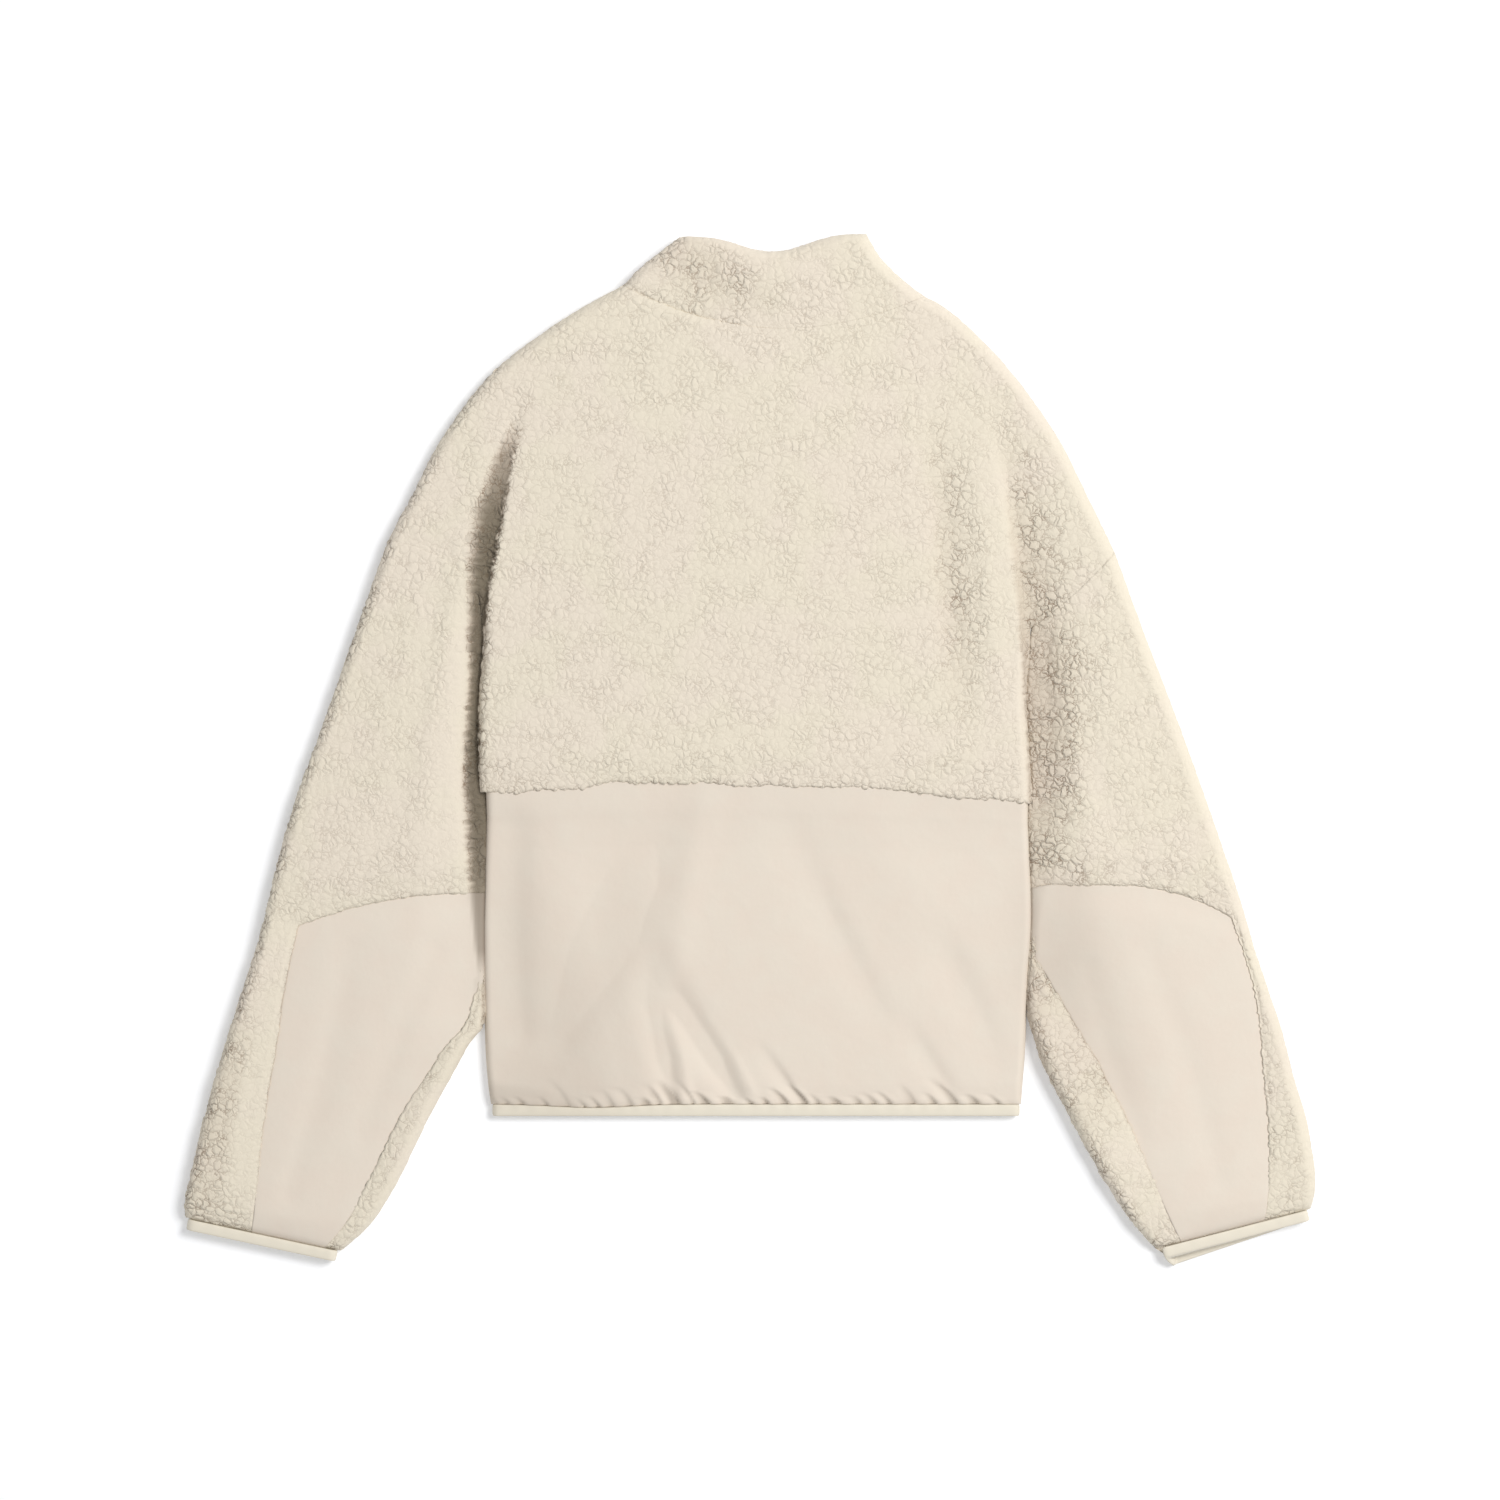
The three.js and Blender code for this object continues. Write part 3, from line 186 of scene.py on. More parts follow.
def from_fold(width, count, radius):
    """Distances from a folded edge up to width, evenly spaced along the rolling cloth."""
    width, radius = np.broadcast_arrays(np.asarray(width, float), np.asarray(radius, float))
    quarter = radius * math.pi / 2
    whole = np.where(width > radius, quarter + width - radius,
                     radius * np.arccos(1 - np.minimum(width / radius, 1)))
    run = whole[:, None] * np.linspace(0, 1, count + 1)
    r = radius[:, None]
    return np.where(run < quarter[:, None], r * (1 - np.cos(run / r)), r + run - quarter[:, None])


def to_line(line, xy):
    """Distance to a line of points, its side from -1 to 1, and the place along it in segments."""
    a, run = line[:-1], np.diff(line, axis=0)
    rel = xy[..., None, :] - a
    f = np.clip((rel * run).sum(-1) / (run * run).sum(-1), 0, 1)
    off = rel - f[..., None] * run
    gap = np.linalg.norm(off, axis=-1)
    best = gap.argmin(-1)[..., None]
    pick = lambda values: np.take_along_axis(values, best, -1)[..., 0]
    side = pick(run[:, 0] * rel[..., 1] - run[:, 1] * rel[..., 0])
    side /= np.maximum(np.linalg.norm(run, axis=1)[best[..., 0]] * pick(gap), 1e-9)
    return pick(gap), np.clip(side, -1, 1), best[..., 0] + pick(f)


def to_folds(lines, xy):
    return np.min([to_line(line, xy)[0] for line in lines], axis=0)


# %% [markdown]
# ## Creases placed by hand
# Creases are what makes laid cloth look heavy or light. Each is a short chain of stations with two half widths,
# because a real crease is steep on one side and slow on the other: `left` and `right` are as seen by someone
# who walks down the chain. Length, depth and spacing are uneven on purpose.

# %% Creases: x, y, half width on the left, half width on the right, rise
BODY_CREASES = [
    [(-171, 262, 5, 8, -.3), (-178.5, 224, 3, 10, -2.6), (-186.5, 180, 2.6, 15, -4.4), (-193.5, 142, 2.6, 14, -5),
     (-199.5, 108, 2.6, 11, -5.4), (-203.2, 64, 2.4, 8, -6), (-205, 17, 2, 9, -6.4), (-205, -30, 2, 10, -6.4),
     (-202, -60, 2, 10, -6), (-201, -132, 2, 6, -3), (-201, -165, 2, 4, -1)],
    [(188, 238, 16, 8, -.5), (196, 196, 22, 7, -3.2), (202, 150, 26, 5, -5.8), (206, 105, 28, 4, -7.2),
     (209, 60, 28, 3.5, -7.2), (212, 10, 26, 3.5, -6.2), (213, -50, 20, 3.5, -4), (213, -110, 12, 3.5, -2)],
    [(139, 246, 14, 12, -.4), (146, 161, 16, 12, -2.6), (152, 90, 14, 11, -2.4), (160, 30, 10, 10, -.5)],
    [(168, 222, 12, 9, .5), (180, 110, 12, 9, 1.3), (188, 30, 9, 9, .4)],
    [(-228, 150, 9, 9, -.6), (-240, 60, 14, 12, -1), (-262, -40, 16, 14, -.8), (-286, -96, 10, 10, -.2)],
    [(246, 60, 12, 14, -.4), (262, -30, 14, 14, -1), (290, -90, 12, 12, -.3)],
]
PAINTED_SHADES = [  # painted shade where cloth turns away from all light; the last number is how dark the painted shade gets
    [(-171, 243, 3, 5, .05), (-176, 221, 1.6, 11, .7), (-184, 176, 1, 19, .97), (-191, 139, .9, 17, 1),
     (-197, 105, .9, 12, 1), (-200.6, 64, .9, 8, 1), (-202, 45, .9, 6.5, 1), (-202.5, 17, .9, 9, 1),
     (-202.5, -30, .9, 10.5, 1), (-198, -60, 1, 12, 1), (-198, -110, 1, 10, .9), (-200, -150, 1, 4.5, .8),
     (-200, -168, 1, 3, .2)],
    [(191, 232, 18, 5, .03), (196, 195, 20, 5, .12), (200, 150, 24, 4, .22), (204, 100, 28, 3, .3),
     (207, 60, 34, 2.5, .38), (210, 10, 30, 2, .36), (211, -40, 26, 2, .32), (212, -90, 14, 2, .3),
     (212, -130, 6, 2, .3), (212, -190, 5, 2, .3)],
    [(141, 236, 10, 10, .03), (147, 175, 14, 14, .1), (152, 110, 15, 15, .13), (157, 55, 13, 13, .09),
     (160, 20, 9, 9, .02)],
    [(-196, -40, 34, 20, .05), (-182, -110, 34, 24, .11), (-150, -190, 46, 50, .17), (-140, -252, 50, 60, .2)],
    [(-96, -60, 20, 20, .02), (-92, -120, 24, 24, .07), (-96, -190, 30, 26, .1), (-90, -250, 26, 24, .1)],
    [(226, -110, 40, 30, .1), (234, -160, 44, 34, .17), (262, -240, 42, 34, .11)],
    [(-366, -190, 6, 24, .02), (-382, -235, 7, 26, .1), (-394, -285, 8, 26, .14), (-404, -335, 8, 24, .1)],
    [(-204, -258, 14, 12, .28), (-150, -262, 13, 11, .27), (-110, -264, 11, 9, .2), (-80, -264, 9, 8, .05)],
    [(-70, 380, 16, 14, .05), (-52, 370, 20, 22, .14), (-30, 356, 24, 26, .13), (4, 336, 18, 16, .04)],
]
LOWER_CREASES = [
    [(-62, -36, 22, 28, -1), (-84, -97, 24, 34, -4.6), (-112, -157, 22, 34, -5.2), (-142, -212, 16, 26, -3.2)],
    [(-36, -40, 14, 12, .8), (-48, -110, 14, 12, 1.2), (-58, -170, 12, 12, 1)],
    [(30, -60, 14, 18, -.8), (62, -128, 10, 20, -2), (97, -195, 9, 16, -1)],
    [(-80, -150, 10, 12, -.4), (-74, -188, 10, 12, -3.2), (-63, -232, 10, 11, -4.4), (-58, -257, 6, 8, -2.6)],
    [(-66, -188, 5, 12, .3), (-52, -230, 5, 12, 1.3), (-46, -257, 4, 8, 1)],
    [(-76, -140, 12, 13, -.6), (-54, -188, 11, 13, -3.8), (-25, -232, 11, 12, -4.8), (-11, -257, 7, 8, -3)],
    [(-40, -190, 5, 12, .3), (-12, -232, 5, 12, 1.5), (2, -257, 4, 8, 1)],
    [(10, -224, 3.5, 8, -.5), (26, -246, 3, 8, -2), (36, -262, 2.6, 6, -1.6)],
    [(134, -130, 14, 20, -.4), (150, -158, 12, 20, -2), (170, -195, 11, 18, -1.8), (184, -232, 10, 16, -.6)],
    [(116, -205, 8, 13, -.4), (130, -225, 7, 12, -1.6), (150, -257, 6, 9, -1.4)],
    [(92, -60, 26, 26, 1.2), (128, -120, 26, 26, 1.2)],
    [(-176, -60, 14, 16, -2.2), (-178, -130, 14, 18, -3), (-172, -210, 10, 16, -2)],
]
ELBOW_CREASES = [
    [(-300, -150, 14, 10, -.8), (-318, -240, 15, 11, -1.5), (-345, -330, 11, 8, -.9)],
    [(-236, -150, 9, 12, -.8), (-262, -214, 9, 12, -1.1), (-290, -286, 8, 10, -.6)],
    [(296, -150, 12, 12, -.8), (330, -240, 13, 13, -1.2), (350, -320, 10, 10, -.8)],
    [(252, -160, 10, 9, -.7), (268, -226, 10, 9, -1), (292, -290, 8, 8, -.7)],
]
COLLAR_CREASES = [
    [(-84, 386, 14, 12, -.8), (-64, 368, 22, 20, -2.4), (-36, 350, 24, 22, -2.6), (8, 331, 14, 14, -.8)],
]


def crease_rise(chains, xy):
    total = np.zeros(xy.shape[:-1])
    for chain in chains:
        chain = np.array(chain, float)
        gap, side, at = to_line(chain[:, :2], xy)
        left, right, rise = (np.interp(at, np.arange(len(chain)), chain[:, k]) for k in (2, 3, 4))
        total += rise * np.exp(-((gap / (right + (left - right) * (1 + side) / 2)) ** 2))
    return total


# %% Painted shade in hollows, and curls along edges
def edge_curls(seed, length, reach=1.7):
    """Reach of the curls along an edge, as a function of millimetres along it: round tops, sharp nicks."""
    chance = np.random.default_rng(seed)
    knots = np.concatenate([[-10], np.cumsum(chance.uniform(3.5, 8.5, int(length / 5) + 8)) - 10])
    tall = chance.uniform(0.25, 1.0, len(knots))

    def read(along):
        cell = np.clip(np.searchsorted(knots, along) - 1, 0, len(knots) - 2)
        u = (along - knots[cell]) / (knots[cell + 1] - knots[cell])
        return reach * tall[cell] * np.sqrt(np.clip(1 - (2 * u - 1) ** 2, 0, 1))
    return read


painted_shade_curls = edge_curls(7, 700, 3.0)


def painted_shade_at(xy, under="", curled=True):
    """Painted shade: 0 on open cloth and up to 1 in a hollow; on the sleeve it goes on under the body on its `under`
    side.
    """
    reach = painted_shade_curls(xy[..., 1] + 260) if curled else 0.8
    spot = np.stack([xy[..., 0] + reach, xy[..., 1]], -1)
    darkest_shade = np.zeros(xy.shape[:-1])
    for k, chain in enumerate(PAINTED_SHADES):
        chain = np.array(chain, float)
        gap, side, at = to_line(chain[:, :2], spot)
        left, right, dark = (np.interp(at, np.arange(len(chain)), chain[:, k]) for k in (2, 3, 4))
        if (k, under) == (0, "left"):
            left = 40
        elif (k, under) == (1, "right"):
            right = 40
        fade = 6 if k == 0 else 2.5
        wide = right + (left - right) * (1 + side) / 2
        darkest_shade = np.maximum(darkest_shade, dark * np.exp(-((gap / wide) ** fade)))
    return darkest_shade


# %% [markdown]
# ## A closed shell from two grids
# The outer face needs a quad every millimetre or so for the fleece's curls, while the inner face is hidden
# and plain. `shell` joins a fine outer grid to a coarse inner one: one coarse cell stands behind `step` by
# `step` fine ones, and fans of triangles close the rim. Cells that `keep` leaves out make a window, such as
# the one that an elbow panel is set into. `round_it` closes the columns into a tube for a sleeve.

# %% Shell builder
cut_area = {}
TOWARD_KEY_LIGHT = np.array([0.85, 0.5, 0.0])  # towards the key light in plan; creases open and take painted shade where the cloth turns away from it


def shell(name, outer, inner, step, keep=None, round_it=False, painted_shade=0.0, seams=()):
    """Stores the painted shade of hollows, how far the creases open and take painted shade on sides turned away from
    the key light, and where pile pushes to.
    """
    rows, cols = outer.shape[:2]
    cells = ((rows - 1) // step, cols // step if round_it else (cols - 1) // step)
    keep = np.ones(cells, bool) if keep is None else keep
    points = np.concatenate([outer.reshape(-1, 3), inner.reshape(-1, 3)])
    inner_cols, base = inner.shape[1], rows * cols
    out = lambda r, c: r * cols + c % cols
    back = lambda r, c: base + r * inner_cols + c % inner_cols
    r, c = np.nonzero(np.kron(keep, np.ones((step, step), bool)))
    quads = [np.stack([out(r, c), out(r, c + 1), out(r + 1, c + 1), out(r + 1, c)], 1)]
    r, c = np.nonzero(keep)
    quads.append(np.stack([back(r, c), back(r + 1, c), back(r + 1, c + 1), back(r, c + 1)], 1))
    rim = []

    def close(r0, c0, r1, c1):
        """Closes the rim along one coarse edge, which runs as the outer faces do."""
        fine = [out(r0 * step + (r1 - r0) * k, c0 * step + (c1 - c0) * k) for k in range(step + 1)]
        here, there = back(r0, c0), back(r1, c1)
        rim.extend([fine[k + 1], fine[k], here] for k in range(step))
        rim.append([fine[-1], here, there])

    kept = lambda i, j: 0 <= i < cells[0] and (round_it or 0 <= j < cells[1]) and keep[i, j % cells[1]]
    for i, j in zip(r, c):
        if not kept(i - 1, j):
            close(i, j, i, j + 1)
        if not kept(i, j + 1):
            close(i, j + 1, i + 1, j + 1)
        if not kept(i + 1, j):
            close(i + 1, j + 1, i + 1, j)
        if not kept(i, j - 1):
            close(i + 1, j, i, j)
    triangles = [q[:, k] for q in quads for k in ([0, 1, 2], [0, 2, 3])] + [np.array(rim)]
    a, b, d = (np.concatenate([points[t[:, k]] for t in triangles]) for k in range(3))
    turned = (a * np.cross(b, d)).sum() < 0
    faces = np.concatenate(quads)
    used, index = np.unique(np.concatenate([faces.ravel(), np.array(rim).ravel()]), return_inverse=True)
    new_quads = index[:faces.size].reshape(-1, 4)
    new_rim = index[faces.size:].reshape(-1, 3)
    if turned:
        new_quads, new_rim = new_quads[:, ::-1], new_rim[:, ::-1]
    cut_area[name] = sum(np.linalg.norm(np.cross(points[t[:, 1]] - points[t[:, 0]], points[t[:, 2]] - points[t[:, 0]]),
                                        axis=1).sum() / 2 for t in triangles[:2]) * MM * MM
    mesh = bpy.data.meshes.new(name)
    mesh.from_pydata(((points[used] + PLAN_SHIFT) * MM).tolist(), [], new_quads.tolist() + new_rim.tolist())
    mesh.polygons.foreach_set("use_smooth", [True] * len(new_quads) + [False] * len(new_rim))
    if round_it:
        across_run = np.roll(outer, -1, 1) - np.roll(outer, 1, 1)
    else:
        across_run = np.gradient(outer, axis=1)
    lean = np.cross(across_run, np.gradient(outer, axis=0)) * (-1 if turned else 1)
    lean /= np.maximum(np.linalg.norm(lean, axis=-1, keepdims=True), 1e-9)
    painted_shade = np.broadcast_to(painted_shade, lean.shape[:2])
    # Creases open on sides turned away from the key light and in hollows with painted shade: the curls get deeper, and
    # the material paints the creases darker as painted shade.
    crease_opening_and_shade = np.clip(-1.7 * (lean @ TOWARD_KEY_LIGHT) + 4.5 * painted_shade, -0.35, 1)
    lean *= (0.55 + 0.45 * crease_opening_and_shade[..., None]) * (1 + 1.3 * np.linalg.norm(lean[..., :2], axis=-1))[..., None]
    for seam in seams:  # two pieces that meet at a seam must not be pushed apart
        gap, _, at = to_line(seam, outer[..., :2])
        run = np.diff(seam, axis=0)[np.minimum(at.astype(int), len(seam) - 2)]
        square = np.stack([-run[..., 1], run[..., 0]], -1) / np.linalg.norm(run, axis=-1, keepdims=True)
        push = (lean[..., :2] * square).sum(-1) * np.clip(1 - gap / 1.3, 0, 1)
        lean[..., :2] -= push[..., None] * square
    behind = inner.shape[0] * inner_cols
    lean = np.concatenate([lean.reshape(-1, 3), np.zeros((behind, 3))])[used]
    for label, values in (("painted_shade", painted_shade), ("crease_opening_and_shade", crease_opening_and_shade)):
        values = np.concatenate([values.ravel(), np.zeros(behind)])[used]
        mesh.attributes.new(label, "FLOAT", "POINT").data.foreach_set("value", values)
    mesh.attributes.new("pile_lean", "FLOAT_VECTOR", "POINT").data.foreach_set("vector", lean.ravel())
    piece = bpy.data.objects.new(name + "_cloth", mesh)
    bpy.context.collection.objects.link(piece)
    return piece


# %% [markdown]
# ## Heights of the two layers
# The front layer lies on the table and the back layer on the front one. Both are read from the same few
# numbers: the stack's height, the cloth's wall and the distance from the nearest fold. `rise` lifts or sinks
# the back layer, and fades out on a fold.

# %% Layer heights
FOLD_EDGE = -0.4  # the outer face runs this far past the stack's middle, so that no slit shows
INNER_EDGE = 0.05


def layer(side, distance, stack, wall, rise=0.0, lift=0.0):
    """Outer and inner height; side is 1 for the back layer and -1 for the front layer."""
    middle = lift + stack / 2
    room = np.minimum(LAYER_GAP, stack - 2 * THINNEST_WALL) / 2
    cloth = np.minimum(wall, stack / 2 - room)
    rise = np.maximum(rise, THINNEST_WALL + 0.3 - room - cloth)
    turn = over_fold(distance, stack / 2)
    outer = FOLD_EDGE + (room + cloth + rise - FOLD_EDGE) * turn
    inner = np.maximum(INNER_EDGE, room * over_fold(distance - cloth, room))
    inner = np.minimum(inner, np.maximum(outer - THINNEST_WALL * turn, INNER_EDGE))
    return middle + side * outer, middle + side * inner


def seam_roll(gap, reach, drop):
    """How far the cloth sinks towards a seam or a cut edge."""
    return -drop * np.clip(1 - gap / reach, 0, 1) ** 1.7


def to_cloth_below(gap):
    """Fleece thins slowly towards a seam with woven cloth, and its cut edge rolls down to it."""
    return -2.1 * (1 - smooth(0, 24, gap)) + seam_roll(gap, 4, 1.2)


def stack_up(xy, z):
    return np.concatenate([xy, z[..., None]], -1)


# %% [markdown]
# ## Back yoke
# The yoke is one big piece of fleece from the neck seam down to the woven panel, with the dropped shoulders in
# it. Its sides are folds, its armhole ends are seams, and its lower edge rolls down on to the woven panel.

# %% Yoke
STEP = 3  # fine quads behind one coarse quad
INSET = 4.0  # the hidden face stops this far inside the outer one
yoke_left = rail(YOKE[:, 0:2], (ARMPIT_ROW, NOTCH_ROW))
yoke_right = rail(YOKE[:, 2:4], (ARMPIT_ROW, NOTCH_ROW))


def line_of(curve, first, last, count=40):
    return curve(np.linspace(first, last, count + 1))


side_folds = {
    "left": [line_of(yoke_left, 0, ARMPIT_ROW), line_of(yoke_left, NOTCH_ROW, NECK_ROW)],
    "right": [line_of(yoke_right, 0, ARMPIT_ROW), line_of(yoke_right, NOTCH_ROW, NECK_ROW)],
}
armholes = {"left": line_of(yoke_left, ARMPIT_ROW, NOTCH_ROW), "right": line_of(yoke_right, ARMPIT_ROW, NOTCH_ROW)}
yoke_row = lambda row, f: across(yoke_left(row), yoke_right(row), column(YOKE, 4)(row), f)
half = np.linspace(0, 1, 121)
yoke_seam = yoke_row(np.zeros(121), half)
neck_seam = yoke_row(np.full(121, float(NECK_ROW)), half)


SEAM_WAVE = np.array([  # the yoke's lower edge wanders: x, and how far it lies above the seam's even curve
    (-200, -1.7), (-174, -3.4), (-157, -2.1), (-127, -2.2), (-112, 1), (-103, 3), (-88, 1.7), (-67, 2), (-49, 1),
    (-37, 2.4), (-22, 0), (-5, -1.4), (18, 0), (30, -1.2), (60, -1), (75, 0), (100, -1.3), (127, -2.9),
    (142, -4.2), (163, -5.4), (180, -4.6), (201, -6), (206, -5)])


def seam_wave(x):
    return np.interp(x, SEAM_WAVE[:, 0], SEAM_WAVE[:, 1])


def neck_depth(xy):
    """The neck seam sinks left of the middle and all but disappears on the right."""
    return (0.4 + 0.6 * smooth(-92, -60, xy[..., 0])) * (1 - 0.98 * smooth(-30, 14, xy[..., 0]))


def two_sided(length, count, radius, inset=0.0):
    """Fractions of rows with a fold at both ends, evenly spaced along the cloth."""
    near = from_fold(length / 2, count, np.full_like(length, radius)) / length[:, None]
    near = inset / length[:, None] + near * (1 - 2 * inset / length[:, None])
    return np.concatenate([near, 1 - near[:, -2::-1]], 1)


def yoke_faces(rows, count, inset):
    length = np.linalg.norm(yoke_right(rows) - yoke_left(rows), axis=1)
    f = two_sided(length, count, STACK / 2, inset)
    xy = yoke_row(np.repeat(rows[:, None], f.shape[1], 1), f)
    rise = crease_rise(BODY_CREASES, xy)
    to_seam, to_neck = to_line(yoke_seam, xy)[0], to_line(neck_seam, xy)[0]
    rise += to_cloth_below(to_seam) + seam_roll(to_neck, 5, 1.2 * neck_depth(xy))
    for line in armholes.values():
        rise += seam_roll(to_line(line, xy)[0], 3.5, 0.05)
    folds = side_folds["left"] + side_folds["right"]
    outer, inner = layer(1, to_folds(folds, xy), STACK, PILE_WALL, rise)
    painted_shade = painted_shade_at(xy)
    xy[..., 1] += seam_wave(xy[..., 0]) * (1 - smooth(0, 16, to_seam))
    xy[..., 1] -= yoke_curls(xy[..., 0] + 210) * np.clip(1 - to_seam / 4, 0, 1)
    xy[..., 1] += 0.6 * neck_depth(xy) * yoke_curls(xy[..., 0] + 150) * np.clip(1 - to_neck / 4, 0, 1)
    return stack_up(xy, outer), stack_up(xy, inner), painted_shade


FLEECE_SPACING = 1.53
yoke_curls = edge_curls(3, 430, 2.6)


def inset_rows(rows, amount):
    """Keeps every STEP-th row and pulls the first and the last one in."""
    coarse = rows[::STEP].copy()
    coarse[0] += amount
    coarse[-1] -= amount
    return coarse


rows = even_rows([yoke_left, yoke_right], [0, ARMPIT_ROW, NOTCH_ROW, NECK_ROW], FLEECE_SPACING, STEP)
count = STEP * 47
outer, _, painted_shade = yoke_faces(rows, count, 0)
inner = yoke_faces(inset_rows(rows, 0.02), count // STEP, INSET)[1]
yoke = shell("yoke_back", outer, inner, STEP, painted_shade=painted_shade, seams=[*armholes.values(), neck_seam])
print("yoke quads", len(yoke.data.polygons))


# %% [markdown]
# ## Collar
# The back collar stands a little above the neck and rolls over its free edge, and the front collar lies under
# it. A crease runs from the middle of the free edge down to the neck seam.

# %% Collar
collar_rails = {"left": rail(COLLAR[:, 0:2]), "right": rail(COLLAR[:, 2:4])}
COLLAR_LAST = len(COLLAR) - 1


def collar_row(row, f):
    """Rows bow evenly at the neck, and the free edge dips only in its middle."""
    edge = smooth(0.5, COLLAR_LAST, row)
    shape = 4 * f * (1 - f) * (1 - edge) + edge * np.exp(-(np.abs(f - 0.5) / 0.235) ** 2.3)
    return across(collar_rails["left"](row), collar_rails["right"](row), column(COLLAR, 4)(row), f, shape)


collar_edge = collar_row(np.full(121, float(COLLAR_LAST)), half)
collar_folds = {k: line_of(r, 0, COLLAR_LAST, 16) for k, r in collar_rails.items()}


def collar_faces(rows, count, inset):
    length = np.linalg.norm(collar_rails["right"](rows) - collar_rails["left"](rows), axis=1)
    f = two_sided(length, count, STACK / 2, inset)
    row = np.repeat(rows[:, None], f.shape[1], 1)
    xy = collar_row(row, f)
    rise = crease_rise(COLLAR_CREASES, xy) + 2.4 * np.sin(math.pi * np.clip(row / COLLAR_LAST, 0, .9)) ** 1.6
    to_neck = to_line(neck_seam, xy)[0]
    rise -= 7 * (1 - over_fold(to_line(collar_edge, xy)[0], 7))
    rise += seam_roll(to_neck, 6, 0.05 + 1.7 * neck_depth(xy))
    outer, inner = layer(1, to_folds(collar_folds.values(), xy), STACK, PILE_WALL, rise)
    painted_shade = painted_shade_at(xy)
    xy[..., 1] -= (0.4 + 0.3 * neck_depth(xy)) * np.clip(1 - to_neck / 4, 0, 1)
    return stack_up(xy, outer), stack_up(xy, inner), painted_shade


rows = even_rows(list(collar_rails.values()), [0, COLLAR_LAST], 1.2, STEP)
outer, _, painted_shade = collar_faces(rows, STEP * 26, 0)
collar_back = shell("collar_back", outer, collar_faces(inset_rows(rows, 0.05), 26, INSET)[1], STEP,
                    painted_shade=painted_shade, seams=[neck_seam])
print("collar quads", len(collar_back.data.polygons))


# %% [markdown]
# ## Fronts
# The fronts face the table. Each runs from the side fold to the zip, and its upper part follows the front neck
# seam. They are pressed flat by the jacket's own weight, so they carry no creases, only the fleece's curls.

# %% Front yokes
def front_inner(side):
    """A front's inner end by yoke row: up the centre front, then along the neck seam to the shoulder."""
    edge = lambda y: centre_x(y) + side * ZIP_CHANNEL_HALF
    y = (YOKE[:NECK_FROM_ROW, 1] + YOKE[:NECK_FROM_ROW, 3]) / 2
    upright = np.stack([edge(y), y], 1)
    neck = np.stack([edge(FRONT_NECK_Y) + side * FRONT_NECK[:, 0], FRONT_NECK[:, 1]], 1)
    shoulder = YOKE[NECK_ROW, 0:2] if side < 0 else YOKE[NECK_ROW, 2:4]
    return rail([*upright, *neck, shoulder], (NECK_FROM_ROW,))


def centre_roll(xy):
    """The front edges roll up towards the zip's channel."""
    gap = np.abs(xy[..., 0] - centre_x(xy[..., 1])) - ZIP_CHANNEL_HALF
    return seam_roll(np.maximum(gap, 0), 4, 2.5)


FOLD_GAP = 0.03  # a front meets the back's edge here, half way up the fold


def front_faces(outer_rail, inner_rail, folds, seams, rows, count, inset, stack=STACK, wall=PILE_WALL, lift=0.0):
    start, end = outer_rail(rows), inner_rail(rows)
    length = np.maximum(np.linalg.norm(end - start, axis=1), 0.5)
    start = start + (end - start) * (np.minimum(FOLD_GAP, 0.2 * length) / length)[:, None]
    d = from_fold(length, count, np.full_like(length, STACK / 2))
    pull = np.minimum(inset, 0.3 * length)[:, None]
    f = (pull + d * (1 - 2 * pull / length[:, None])) / length[:, None]
    xy = start[:, None] + (end - start)[:, None] * f[..., None]
    rise = centre_roll(xy)
    for line in seams:
        rise += seam_roll(to_line(line, xy)[0], 4, 1.6)
    outer, inner = layer(-1, to_folds(folds, xy), stack, wall, rise, lift)
    return stack_up(xy, outer), stack_up(xy, inner)


UNDER_SPACING = 2.6
fronts = {}
for word, side, outer_rail in (("left", -1, yoke_left), ("right", 1, yoke_right)):
    inner_rail = front_inner(side)
    seams = [yoke_seam, armholes[word], line_of(inner_rail, NECK_FROM_ROW, NECK_ROW)]
    stops = [0, ARMPIT_ROW, NOTCH_ROW, NECK_FROM_ROW, NECK_ROW - 0.06]
    rows = even_rows([outer_rail], stops, UNDER_SPACING, STEP)
    faces = lambda rows, count, inset: front_faces(
        outer_rail, inner_rail, side_folds[word], seams, rows, count, inset)
    fronts[word] = shell(f"front_upper_{word}", faces(rows, STEP * 27, 0)[0],
                         faces(inset_rows(rows, 0.02), 27, INSET)[1], STEP, seams=seams)
    print(fronts[word].name, "quads", len(fronts[word].data.polygons))

